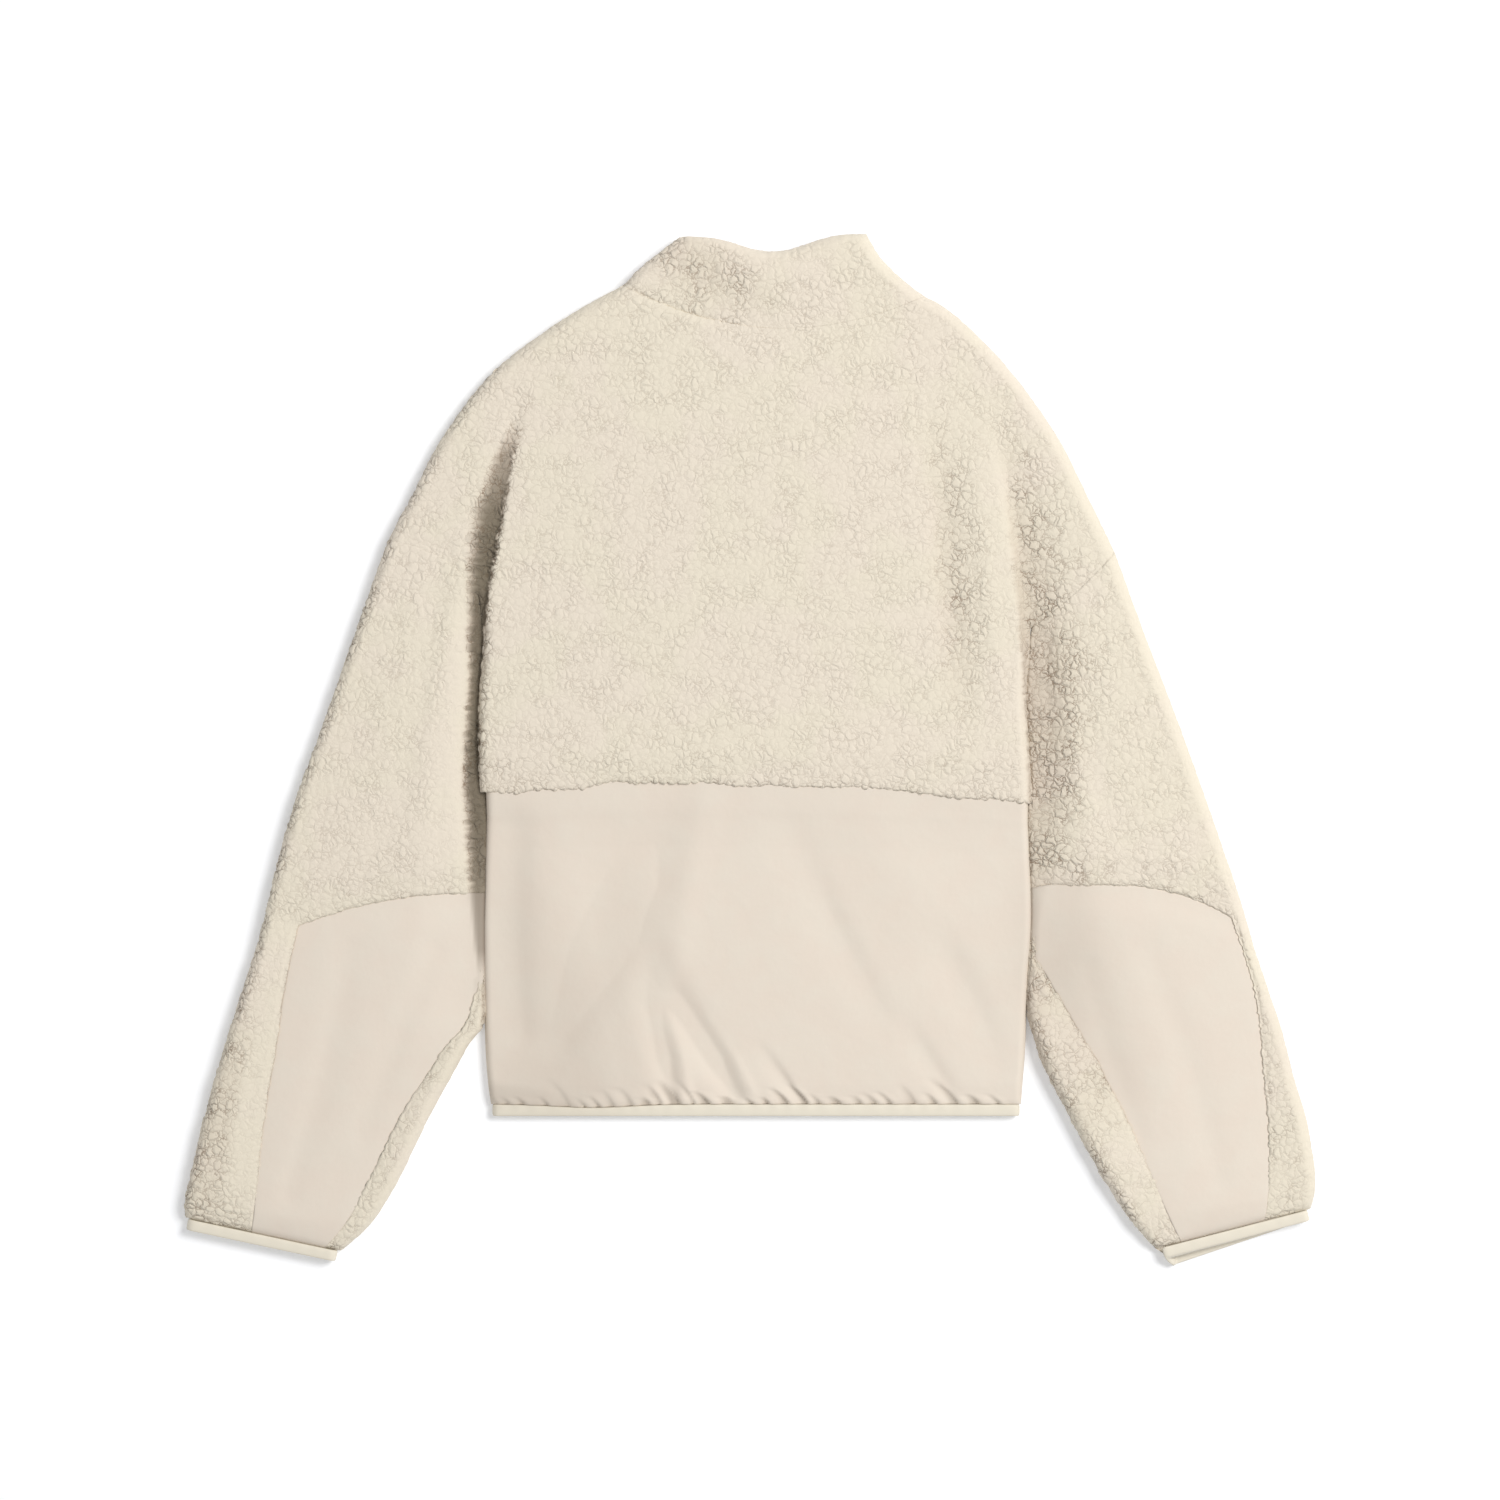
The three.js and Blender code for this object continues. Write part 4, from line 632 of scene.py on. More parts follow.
# %% Front collars
front_collars = {}
for word, side in (("left", -1), ("right", 1)):
    neck_line, side_fold = front_inner(side), collar_rails[word]
    top_end = np.array([centre_x(FRONT_COLLAR_TOP_Y) + side * ZIP_CHANNEL_HALF, FRONT_COLLAR_TOP_Y])
    peak = side_fold(COLLAR_LAST)
    top_line = rail([peak, [(peak[0] + top_end[0]) / 2, peak[1] + 0.62 * (top_end[1] - peak[1])], top_end])

    def faces(rows, count, inset, inset_row=0.0):
        f = np.linspace(inset, 1 - inset, count + 1)[None, :]
        up = (inset_row + rows * (1 - 2 * inset_row))[:, None]
        row = up * COLLAR_LAST
        slip = side_fold(row) - (side_fold(0.0) * (1 - up[..., None]) + side_fold(COLLAR_LAST) * up[..., None])
        neck = neck_line(NECK_ROW - f * (NECK_ROW - NECK_FROM_ROW))
        top = top_line(f * 2)
        xy = neck * (1 - up[..., None]) + top * up[..., None] + slip * (1 - f[..., None])
        rise = centre_roll(xy) - 6 * (1 - over_fold(to_line(top_line(np.linspace(0, 2, 41)), xy)[0], 6))
        rise += seam_roll(to_line(neck_line(np.linspace(NECK_FROM_ROW, NECK_ROW, 41)), xy)[0], 4, 1.6)
        outer, inner = layer(-1, to_folds([collar_folds[word]], xy), STACK, PILE_WALL, rise)
        return stack_up(xy, outer), stack_up(xy, inner)

    front_collars[word] = shell(f"collar_front_{word}", faces(np.linspace(0, 1, STEP * 9 + 1), STEP * 18, 0)[0],
                                faces(np.linspace(0, 1, 10), 18, 0.02, 0.05)[1], STEP,
                                seams=[neck_line(np.linspace(NECK_FROM_ROW, NECK_ROW, 41))])
    print(front_collars[word].name, "quads", len(front_collars[word].data.polygons))


# %% [markdown]
# ## Woven lower panels
# The lower panels are smooth woven cloth over thin wadding. They are sewn on at the fleece's inner side, so
# they start a step below it and come down to the table. The elastic at the hem is shorter than the cloth,
# which throws it into slanted puckers: each is a sharp little valley that starts at the binding and fades out.

# %% Puckers along the hem
chance = np.random.default_rng(11)
PUCKER_EVERY = (8.5, 18.0)
puckers = []
at = -190.0
while at < 196:
    tall = chance.uniform(5, 11) + (chance.random() < 0.35) * chance.uniform(5, 14)
    bold = np.interp(at, (-140, -100, 30, 80), (0.6, 1.15, 1.15, 0.85))
    puckers.append((at, chance.uniform(0.7, 1.2) * tall, tall, bold * chance.uniform(1.4, 3.6),
                    chance.uniform(1.7, 3.6)))
    at += chance.uniform(*PUCKER_EVERY)
print("puckers", len(puckers))


def pucker_rise(xy):
    total = np.zeros(xy.shape[:-1])
    near = xy[..., 1] < HEM_Y + 30
    spot = xy[near]
    part = np.zeros(len(spot))
    for x, lean, tall, deep, wide in puckers:
        up = np.clip((spot[:, 1] - HEM_Y) / tall, 0, 1)
        off = spot[:, 0] - (x - lean * up ** 1.4)
        fade = (1 - up) ** 0.7 * (spot[:, 1] < HEM_Y + tall)
        part += -deep * fade * np.exp(-((off / np.where(off > 0, 0.42 * wide, 1.9 * wide)) ** 2))
        part += 0.3 * deep * fade * np.exp(-(((off - 1.7 * wide) / (1.4 * wide)) ** 2))
    total[near] = part
    return total


# %% Lower back and lower fronts
lower_left, lower_right = rail(LOWER[:, 0:2], (1,)), rail(LOWER[:, 2:4], (1,))
LOWER_LAST = len(LOWER) - 1
lower_folds = [line_of(lower_left, 0, LOWER_LAST), line_of(lower_right, 0, LOWER_LAST)]
hem_line = np.array([[-194, HEM_Y], [203, HEM_Y]])


def lower_section(row):
    """Stack height and lift of the lower panels at a row."""
    pinch = np.clip(row - (LOWER_LAST - 1), 0, 1)
    return WOVEN_STACK + (HEM_STACK - WOVEN_STACK) * pinch, WOVEN_LIFT * np.clip(1 - row / 2, 0, 1)


def hem_dip(x):
    """The puckered cloth bulges down over the binding on the left."""
    return 2.5 * np.exp(-(((x + 118) / 40) ** 2))


def lower_back_faces(rows, count, inset):
    start, end = lower_left(rows), lower_right(rows)
    length = np.linalg.norm(end - start, axis=1)
    f = two_sided(length, count, WOVEN_STACK / 2, inset)
    row = np.repeat(rows[:, None], f.shape[1], 1)
    xy = across(lower_left(row), lower_right(row), column(LOWER, 4)(row), f)
    stack, lift = lower_section(row)
    rise = crease_rise(LOWER_CREASES, xy) + pucker_rise(xy)
    to_seam = to_line(yoke_seam, xy)[0]
    to_hem = to_line(hem_line, xy)[0]
    rise += 0.2 * (1 - smooth(0, 30, to_seam)) + seam_roll(to_hem, 4, 0.9)
    outer, inner = layer(1, to_folds(lower_folds, xy), stack, WOVEN_WALL, rise, lift)
    # Painted shade in the hollows and in the puckers' valleys.
    painted_shade = np.maximum(painted_shade_at(xy, curled=False), 0.5 * np.clip(-pucker_rise(xy) / 2.2 - 0.15, 0, 1))
    xy[..., 1] += (0.5 + seam_wave(xy[..., 0])) * (1 - smooth(0, 20, to_seam))
    xy[..., 1] -= hem_dip(xy[..., 0]) * (1 - smooth(0, 12, to_hem))
    return stack_up(xy, outer), stack_up(xy, inner), painted_shade


rows = np.concatenate([even_rows([lower_left, lower_right], [0, 6], 2.0, STEP)[:-1],
                       even_rows([lower_left, lower_right], [6, LOWER_LAST], 0.95, STEP)])
outer, _, painted_shade = lower_back_faces(rows, STEP * 46, 0)
lower_back = shell("lower_back", outer, lower_back_faces(inset_rows(rows, 0.02), 46, 2.0)[1], STEP, painted_shade=painted_shade)
print("lower back quads", len(lower_back.data.polygons))

lower_fronts = {}
for word, side, outer_rail in (("left", -1, lower_left), ("right", 1, lower_right)):
    centre = lambda rows: np.stack([centre_x((lower_left(rows)[:, 1] + lower_right(rows)[:, 1]) / 2) + side * 6,
                                    (lower_left(rows)[:, 1] + lower_right(rows)[:, 1]) / 2], 1)
    rows = even_rows([outer_rail], [0, LOWER_LAST], 3.6, STEP)

    def faces(rows, count, inset):
        stack, lift = (v[:, None] for v in lower_section(rows))
        return front_faces(outer_rail, centre, lower_folds, [yoke_seam], rows, count, inset,
                           stack, WOVEN_WALL, lift)

    lower_fronts[word] = shell(f"front_lower_{word}", faces(rows, STEP * 18, 0)[0],
                               faces(inset_rows(rows, 0.02), 18, 2.0)[1], STEP)
    print(lower_fronts[word].name, "quads", len(lower_fronts[word].data.polygons))


# %% [markdown]
# ## Sleeves
# A sleeve is a tube that lies flat, so it is built as one: the columns run over the top from the outer fold to
# the inner one, and back underneath. That keeps both folds free of seams. The elbow panel sits in a window in
# the upper side, and the fleece's edge rolls down to it all round.

# %% Sleeve tubes and elbow panels
TOP_COUNTS = (21, 75, 12)  # fine columns of the outer strip, the elbow's width and the inner strip
UNDER_COUNT = 30  # columns of each half of the underside
ELBOW_PUFF = 1.6
TUCK = 1.6  # the inner fold reaches this far under the body's fold
SQUEEZE = 5.0  # and is this much flatter than the rest of the sleeve
body_side = {"left": np.concatenate([side_folds["left"][0][::-1], lower_folds[0]]),
             "right": np.concatenate([side_folds["right"][0][::-1], lower_folds[1]])}


def sleeve_parts(word):
    table = SLEEVE_LEFT if word == "left" else SLEEVE_RIGHT
    last = len(table) - 1
    outer_rail, inner_rail = rail(table[:, 0:2]), rail(table[:, 2:4])
    yoke_end = yoke_left if word == "left" else yoke_right
    seam_out, seam_in, bow, stack_of = (column(table, k) for k in (4, 5, 6, 7))
    slip = np.array(CUFF_SLIP[word], float)

    def place(row, f):
        xy = across(outer_rail(row), inner_rail(row), bow(row), f)
        first = across(outer_rail(0 * row), inner_rail(0 * row), bow(0 * row), f)
        armhole = yoke_end(NOTCH_ROW + (ARMPIT_ROW - NOTCH_ROW) * f)
        xy = xy + (armhole - first) * (1 - np.clip(row / 0.5, 0, 1))[..., None]
        beside = smooth(0, 0.6, row) * (1 - smooth(7.8, 8.8, row)) * smooth(0.8, 1, f)
        inner_line = inner_rail(row)
        body = np.interp(-inner_line[..., 1], -body_side[word][:, 1], body_side[word][:, 0])
        sign = 1 if word == "left" else -1
        xy[..., 0] += sign * beside * np.clip(sign * (body - inner_line[..., 0]) + TUCK, 0, 8)
        if word == "right":  # the elbow's seam rises towards the body
            reach = ((xy[..., 0] - 212) / 34) ** 2 + ((xy[..., 1] + 112) / 32) ** 2
            xy[..., 1] += 8 * np.exp(-reach)
        return xy

    def stack_at(row, f):
        return stack_of(row) - SQUEEZE * smooth(0, 1, row) * (1 - smooth(7.5, 9, row)) * smooth(0.7, 1, f)

    folds = [place(np.linspace(0, last, 81), np.full(81, f)) for f in (0.0, 1.0)]
    window = [place(np.linspace(ELBOW_ROW, last, 60), seam(np.linspace(ELBOW_ROW, last, 60)))
              for seam in (seam_out, seam_in)]
    top_seam = place(np.full(40, float(ELBOW_ROW)),
                     np.linspace(seam_out(ELBOW_ROW), seam_in(ELBOW_ROW), 40))
    cuff_seam = place(np.full(40, float(last)), np.linspace(0, 1, 40))
    elbow_seams = [*window, top_seam]
    elbow_curls = [edge_curls(seed + (word == "left"), 560) for seed in (20, 30)]
    top_curls = edge_curls(40 + (word == "left"), 300)
    armhole = place(np.zeros(40), np.linspace(0, 1, 40))
    trough, own = (np.array(BODY_CREASES[k], float) for k in ((0, 4) if word == "left" else (1, 5)))
    trough[:, 2 if word == "left" else 3] = 40  # the sleeve goes on sinking until it is under the body
    armhole_creases = [trough, own]

    def top_fractions(rows, thin, inset, parts=(0, 1, 2)):
        length = np.linalg.norm(inner_rail(rows) - outer_rail(rows), axis=1)
        near, far = ((0.5 + reach(rows * 40)) * smooth(ELBOW_ROW - 0.2, ELBOW_ROW, rows) * (inset == 0)
                     for reach in elbow_curls)
        one, two = seam_out(rows) * length + near, seam_in(rows) * length - far
        radius = stack_of(rows) / 2
        near = from_fold(one, TOP_COUNTS[0] // thin, radius)
        far = from_fold(length - two, TOP_COUNTS[2] // thin, radius)
        pull_near, pull_far = (np.minimum(inset, 0.6 * w)[:, None] for w in (one, length - two))
        near = pull_near + near * (1 - pull_near / one[:, None])
        far = pull_far + far * (1 - pull_far / (length - two)[:, None])
        between = one[:, None] + (two - one)[:, None] * np.linspace(0, 1, TOP_COUNTS[1] // thin + 1)
        return [near / length[:, None], between / length[:, None], (1 - far / length[:, None])[:, ::-1]]

    def painted_shade_beside_body(xy, is_fleece):
        """Painted shade on the sleeve next to the body, where the body keeps light off it; it also opens the pile
        there.
        """
        gap = to_line(body_side[word], xy)[0]
        near = 0.5 * (1 - smooth(0, 4, gap)) if is_fleece else 0.14 * (1 - smooth(0, 2.5, gap))
        wide = 0.24 * (1 - smooth(4, 32, gap)) * (1 - smooth(60, 120, xy[..., 1]))
        return np.maximum(near, is_fleece * (word == "right") * wide)

    def top_heights(rows, f, wall, rise_at):
        row = np.repeat(rows[:, None], f.shape[1], 1)
        xy = place(row, f)
        rise = rise_at(xy, row, f)
        outer, inner = layer(1, to_folds(folds, xy), stack_at(row, f), wall, rise)
        painted_shade = np.maximum(painted_shade_at(xy, word, wall == PILE_WALL), painted_shade_beside_body(xy, wall == PILE_WALL))
        if wall == PILE_WALL:  # the sleeve's edge just covers the yoke's, so that no slit shows
            xy += 0.45 * np.array([0.34 if word == "left" else -0.34, 0.94]) * np.clip(1 - row / 0.05, 0, 1)[..., None]
            xy[..., 1] -= top_curls(np.abs(xy[..., 0]) - 200) * np.clip(1 - to_line(top_seam, xy)[0] / 4, 0, 1)
        return stack_up(xy, outer), stack_up(xy, inner), painted_shade

    def sunk(row):
        """The window's seam sinks, but not at the cuff, where the binding takes it in."""
        return 1 - smooth(last - 3.2, last - 0.4, row)

    def fleece_rise(xy, row, f):
        rise = crease_rise(armhole_creases, xy)
        rise += seam_roll(to_line(armhole, xy)[0], 3.5, 0.05)
        rise += seam_roll(to_line(cuff_seam, xy)[0], 5, 2.5)
        return rise + sunk(row) * to_cloth_below(np.min([to_line(s, xy)[0] for s in elbow_seams], axis=0))

    def woven_rise(xy, row, f):
        inside = np.clip((f - seam_out(row)) / (seam_in(row) - seam_out(row)), 0, 1)
        along = (row - ELBOW_ROW) / (last - ELBOW_ROW)
        puff = ELBOW_PUFF * np.sin(math.pi * inside) ** 0.5 * smooth(0, .12, along) * (1 - smooth(.88, 1, along))
        level = np.minimum(PILE_WALL, (stack_at(row, f) - LAYER_GAP) / 2) - WOVEN_WALL - 3.9 * sunk(row)
        return level + puff + crease_rise(ELBOW_CREASES, xy) + seam_roll(to_line(cuff_seam, xy)[0], 5, 2.2)

    def tube_faces(rows, thin, inset):
        parts = top_fractions(rows, thin, inset)
        f = np.concatenate([parts[0], parts[1][:, 1:-1], parts[2]], 1)
        top = top_heights(rows, f, PILE_WALL, fleece_rise)
        length = np.linalg.norm(inner_rail(rows) - outer_rail(rows), axis=1)
        under_f = two_sided(length, UNDER_COUNT // thin, STACK / 2, inset)[:, ::-1]
        row = np.repeat(rows[:, None], under_f.shape[1], 1)
        xy = place(row, under_f)
        mouth = smooth(last - 1.2, last, row)[..., None]
        xy = xy + mouth * (slip[0] + (slip[1] - slip[0]) * under_f[..., None])
        sink = np.linalg.norm(slip[1], axis=-1) * 0.08 * mouth[..., 0] * under_f
        roll = seam_roll(to_line(armhole, xy)[0], 3.5, 1.5)
        roll += seam_roll(to_line(cuff_seam + slip.mean(0), xy)[0], 5, 2.0)
        outer, inner = layer(-1, to_folds(folds, place(row, under_f)), stack_at(row, under_f), PILE_WALL, roll)
        under = stack_up(xy, outer), stack_up(xy, inner - sink)
        if inset == 0:
            for end, f in ((0, 0.0), (-1, 1.0)):
                top[0][:, end, 2] = stack_at(rows, f) / 2
            # Painted shade on the underside where it turns up at the folds, and beside the body.
            turned = painted_shade_at(under[0][..., :2], word) * (1 - smooth(2, 9, to_folds(folds, under[0][..., :2])))
            turned = np.maximum(turned, painted_shade_beside_body(under[0][..., :2], True))
            painted_shade = np.concatenate([top[2], turned[:, 1:-1]], 1)
            return np.concatenate([top[0], under[0][:, 1:-1]], 1), painted_shade
        return np.concatenate([top[1], under[1][:, 1:-1]], 1)

    stops = [0, ELBOW_ROW, last]
    rows = even_rows([outer_rail, inner_rail], stops, 1.55, STEP)
    coarse = rows[::STEP].copy()
    coarse[0] += 0.03
    coarse[-1] -= 0.03
    outer, painted_shade = tube_faces(rows, 1, 0)
    inner = tube_faces(coarse, STEP, PILE_WALL * 0.75)
    keep = np.ones((outer.shape[0] // STEP, outer.shape[1] // STEP), bool)
    window_rows = coarse[:-1] >= ELBOW_ROW - 0.01
    first, width = TOP_COUNTS[0] // STEP, TOP_COUNTS[1] // STEP
    keep[np.ix_(window_rows, np.arange(first, first + width))] = False
    sleeve = shell(f"sleeve_{word}", outer, inner, STEP, keep, round_it=True, painted_shade=painted_shade,
                   seams=[armhole])

    panel_rows = even_rows([outer_rail, inner_rail], [ELBOW_ROW, last], 1.9, STEP)

    def panel_faces(rows, count, pull):
        length = np.linalg.norm(inner_rail(rows) - outer_rail(rows), axis=1)
        one, two = (seam(rows) + sign * pull / length for seam, sign in ((seam_out, 1), (seam_in, -1)))
        two = two + (0.999 - seam_in(rows)) * smooth(0.945, 0.965, seam_in(rows))
        f = one[:, None] + (two - one)[:, None] * np.linspace(0, 1, count + 1)
        return top_heights(rows, f, WOVEN_WALL, woven_rise)

    outer, _, painted_shade = panel_faces(panel_rows, STEP * 22, 0.3)
    panel = shell(f"elbow_{word}", outer, panel_faces(inset_rows(panel_rows, 0.02), 22, 1.5)[1], STEP,
                  painted_shade=painted_shade)
    print(sleeve.name, "quads", len(sleeve.data.polygons), panel.name, len(panel.data.polygons))
    ends = place(np.array([last, last], float), np.array([0.0, 1.0]))
    return sleeve, panel, ends, slip, float(stack_of(last))


sleeves = {word: sleeve_parts(word) for word in ("left", "right")}


# %% [markdown]
# ## Elastic bindings
# The hem and both cuffs are bound with a narrow elastic strip. It is a flattened ring: a rounded section that
# is swept along the top, round the fold and back underneath. The sweep is a small loop over stations, because
# the ring also has to open a little at one cuff.

# %% Bindings
BINDING_WALL = 2.8
SECTION = [(math.cos(a), math.sin(a)) for a in np.linspace(0, 2 * math.pi, 17)[:-1]]


def ring(name, start, end, slip, stack, width, draw, wave, dip_at=lambda x: 0 * x):
    """A closed band: start and end are the upper run's ends, and slip moves the lower run's ends."""
    start, end = np.array(start, float), np.array(end, float)
    radius, length = stack / 2, np.linalg.norm(end - start)
    span = length - stack - draw
    straight, turn = int(span / 1.7), 14
    angle = np.linspace(0, math.pi, turn + 1)
    at = np.concatenate([np.linspace(0, 1, straight, endpoint=False) * span, np.full(turn, span),
                         span - np.linspace(0, 1, straight, endpoint=False) * span, np.zeros(turn)])
    up = np.concatenate([np.ones(straight), np.cos(angle[:-1]), -np.ones(straight), -np.cos(angle[:-1])])
    out = np.concatenate([np.zeros(straight), np.sin(angle[:-1]), np.zeros(straight), -np.sin(angle[:-1])])
    along = (end - start) / length
    down = np.array([along[1], -along[0]])
    down = -down if down[1] > 0 else down
    dip = dip_at(start[0] + radius + draw / 2 + at)
    grid = []
    for c, s in SECTION:
        bulge = np.sign(c) * abs(c) ** 0.55
        edge = width / 2 * (1 + np.sign(s) * abs(s) ** 0.7)
        edge = edge + dip * np.maximum(up, 0) * (1 - edge / width)
        reach = radius - BINDING_WALL / 2 + bulge * BINDING_WALL / 2
        ripple = wave * np.sin(at / 2.3 + 2 * np.sin(at / 17)) * (1 - edge / width)
        z = radius + (reach + ripple * (c > 0)) * up
        f = (radius + draw / 2 + at + reach * out) / length
        raised = np.clip((z / stack - 0.5) / 0.4, 0, 1)
        low = (start + slip[0])[None] + ((end + slip[1]) - (start + slip[0]))[None] * f[:, None]
        high = start[None] + (end - start)[None] * f[:, None]
        xy = low + (high - low) * raised[:, None] + down * (0.1 + edge)[:, None]
        grid.append(np.concatenate([xy, np.maximum(z, 0.0)[:, None]], 1))
    grid = np.array(grid)
    n, m = grid.shape[:2]
    i, j = np.meshgrid(np.arange(n), np.arange(m), indexing="ij")
    index = lambda a, b: (a % n) * m + b % m
    quads = np.stack([index(i, j), index(i, j + 1), index(i + 1, j + 1), index(i + 1, j)], -1).reshape(-1, 4)
    points = grid.reshape(-1, 3)
    a, b, c, d = (points[quads[:, k]] for k in range(4))
    volume = (a * np.cross(b, c)).sum() + (a * np.cross(c, d)).sum()
    mesh = bpy.data.meshes.new(name)
    faces = quads if volume > 0 else quads[:, ::-1]
    mesh.from_pydata(((points + PLAN_SHIFT) * MM).tolist(), [], faces.tolist())
    mesh.polygons.foreach_set("use_smooth", [True] * len(mesh.polygons))
    # Painted shade on the binding, read from the same hollows.
    binding_shade = painted_shade_at(points[:, :2], curled=False)
    mesh.attributes.new("painted_shade", "FLOAT", "POINT").data.foreach_set("value", binding_shade)
    piece = bpy.data.objects.new(name + "_cloth", mesh)
    bpy.context.collection.objects.link(piece)
    return piece


no_slip = np.zeros((2, 2))
hem = ring("hem_binding", hem_line[0], hem_line[1], no_slip, HEM_STACK, 8.9, 2, 0.25, hem_dip)
cuffs = {word: ring(f"cuff_{word}", ends[0], ends[1], slip, stack, 8.3, 5, 0.18)
         for word, (_, _, ends, slip, stack) in sleeves.items()}
print("hem binding quads", len(hem.data.polygons))


# %% [markdown]
# ## Node helpers
# Both Geometry Nodes and materials are small graphs. `node` adds a node and sets or links its inputs in one
# call, so that a graph reads from top to bottom like a recipe.

# %% Node helper
def node(tree, kind, settings=None, **inputs):
    made = tree.nodes.new(kind)
    for key, value in (settings or {}).items():
        setattr(made, key, value)
    for key, value in inputs.items():
        socket = made.inputs[int(key[1:])] if key[0] == "i" and key[1:].isdigit() else made.inputs[key.replace("_", " ")]
        if isinstance(value, bpy.types.NodeSocket):
            tree.links.new(value, socket)
        else:
            socket.default_value = value
    return made


def maths(tree, operation, *values):
    made = node(tree, "ShaderNodeMath", {"operation": operation})
    for socket, value in zip(made.inputs, values):
        if isinstance(value, bpy.types.NodeSocket):
            tree.links.new(value, socket)
        else:
            socket.default_value = value
    return made.outputs[0]


def vector_maths(tree, operation, *values):
    made = node(tree, "ShaderNodeVectorMath", {"operation": operation})
    for socket, value in zip([s for s in made.inputs if s.enabled], values):
        if isinstance(value, bpy.types.NodeSocket):
            tree.links.new(value, socket)
        else:
            socket.default_value = value
    return made.outputs["Vector"]


def remap(tree, value, low, high, to_low=0.0, to_high=1.0, kind="SMOOTHSTEP"):
    made = node(tree, "ShaderNodeMapRange", {"interpolation_type": kind})
    tree.links.new(value, made.inputs[0])
    for index, number in zip((1, 2, 3, 4), (low, high, to_low, to_high)):
        made.inputs[index].default_value = number
    return made.outputs[0]


# %% [markdown]
# ## The curls of sherpa fleece
# Sherpa's loops clump into rounded curls, six millimetres across, with thin soft creases between them. Voronoi
# cells pushed about by noise have just that look: the distance to a cell's edge gives the crease, and a slow
# second noise makes some creases deep and lets others close up. The same recipe is used twice, so it is one
# function: Geometry Nodes move the mesh with it, and the material draws the finest part of it as a bump and as
# painted shade in the creases.

# %% Curl field
CURL = 0.0060  # metres across one curl


def curl_field(tree, spot):
    """Distance to a crease (0 on it), and how strong creases are in this neighbourhood."""
    push = node(tree, "ShaderNodeTexNoise", Vector=spot, Scale=0.9 / CURL, Detail=3.0).outputs["Color"]
    push = vector_maths(tree, "SUBTRACT", push, (0.5, 0.5, 0.5))
    shifted = vector_maths(tree, "MULTIPLY_ADD", push, (CURL * 1.5,) * 3, spot)
    cells = node(tree, "ShaderNodeTexVoronoi", {"feature": "DISTANCE_TO_EDGE"}, Vector=shifted, Scale=1 / CURL)
    clumps = node(tree, "ShaderNodeTexNoise", Vector=spot, Scale=55.0, Detail=2.0).outputs[0]
    return cells.outputs["Distance"], remap(tree, clumps, 0.35, 0.65, 0.35, 1.0), shifted


def pile_tree():
    """Geometry Nodes: pushes the fleece's outer face into curls along pile_lean."""
    tree = bpy.data.node_groups.new("Sherpa pile", "GeometryNodeTree")
    face = tree.interface
    face.new_socket("Geometry", in_out="INPUT", socket_type="NodeSocketGeometry")
    for label, value in (("Curl depth", 0.0005), ("Clump height", 0.0004), ("Fluff", 0.0003), ("Table", 0.00005)):
        face.new_socket(label, in_out="INPUT", socket_type="NodeSocketFloat").default_value = value
    face.new_socket("Cloth", in_out="INPUT", socket_type="NodeSocketMaterial")
    face.new_socket("Geometry", in_out="OUTPUT", socket_type="NodeSocketGeometry")
    start, end = tree.nodes.new("NodeGroupInput"), tree.nodes.new("NodeGroupOutput")
    spot = node(tree, "GeometryNodeInputPosition").outputs[0]
    edge, strong, shifted = curl_field(tree, spot)
    kept = node(tree, "GeometryNodeStoreNamedAttribute", {"data_type": "FLOAT_VECTOR", "domain": "POINT"},
                Geometry=start.outputs["Geometry"], Name="rest", Value=spot)
    lean = node(tree, "GeometryNodeInputNamedAttribute", {"data_type": "FLOAT_VECTOR"}, Name="pile_lean")
    crown = remap(tree, edge, 0.0, 0.22, 1.0, 0.0)
    sink = maths(tree, "MULTIPLY", maths(tree, "MULTIPLY", crown, strong), start.outputs["Curl depth"])
    tall = node(tree, "ShaderNodeTexVoronoi", Vector=shifted, Scale=1 / CURL).outputs["Color"]
    bump = maths(tree, "MULTIPLY", maths(tree, "SUBTRACT", tall, 0.6), start.outputs["Clump height"])
    fine = node(tree, "ShaderNodeTexNoise", Vector=spot, Scale=260.0, Detail=2.0).outputs[0]
    fluff = maths(tree, "MULTIPLY", maths(tree, "SUBTRACT", fine, 0.5), start.outputs["Fluff"])
    move = maths(tree, "ADD", maths(tree, "SUBTRACT", bump, sink), fluff)
    offset = vector_maths(tree, "SCALE", lean.outputs["Attribute"])
    tree.links.new(move, offset.node.inputs["Scale"])
    moved = node(tree, "GeometryNodeSetPosition", Geometry=kept.outputs[0], Offset=offset)
    here = node(tree, "ShaderNodeSeparateXYZ", Vector=node(tree, "GeometryNodeInputPosition").outputs[0])
    above = maths(tree, "MAXIMUM", here.outputs[2], start.outputs["Table"])
    level = node(tree, "ShaderNodeCombineXYZ", X=here.outputs[0], Y=here.outputs[1], Z=above)
    flat = node(tree, "GeometryNodeSetPosition", Geometry=moved.outputs[0], Position=level.outputs[0])
    real = node(tree, "GeometryNodeRealizeInstances", Geometry=flat.outputs[0])
    done = node(tree, "GeometryNodeSetMaterial", Geometry=real.outputs[0], Material=start.outputs["Cloth"])
    tree.links.new(done.outputs[0], end.inputs[0])
    return tree


def set_inputs(modifier, **values):
    """Sets a tree's named inputs by their sockets' identifiers."""
    for item in modifier.node_group.interface.items_tree:
        if item.item_type == "SOCKET" and item.in_out == "INPUT" and item.name.replace(" ", "_") in values:
            modifier[item.identifier] = values[item.name.replace(" ", "_")]


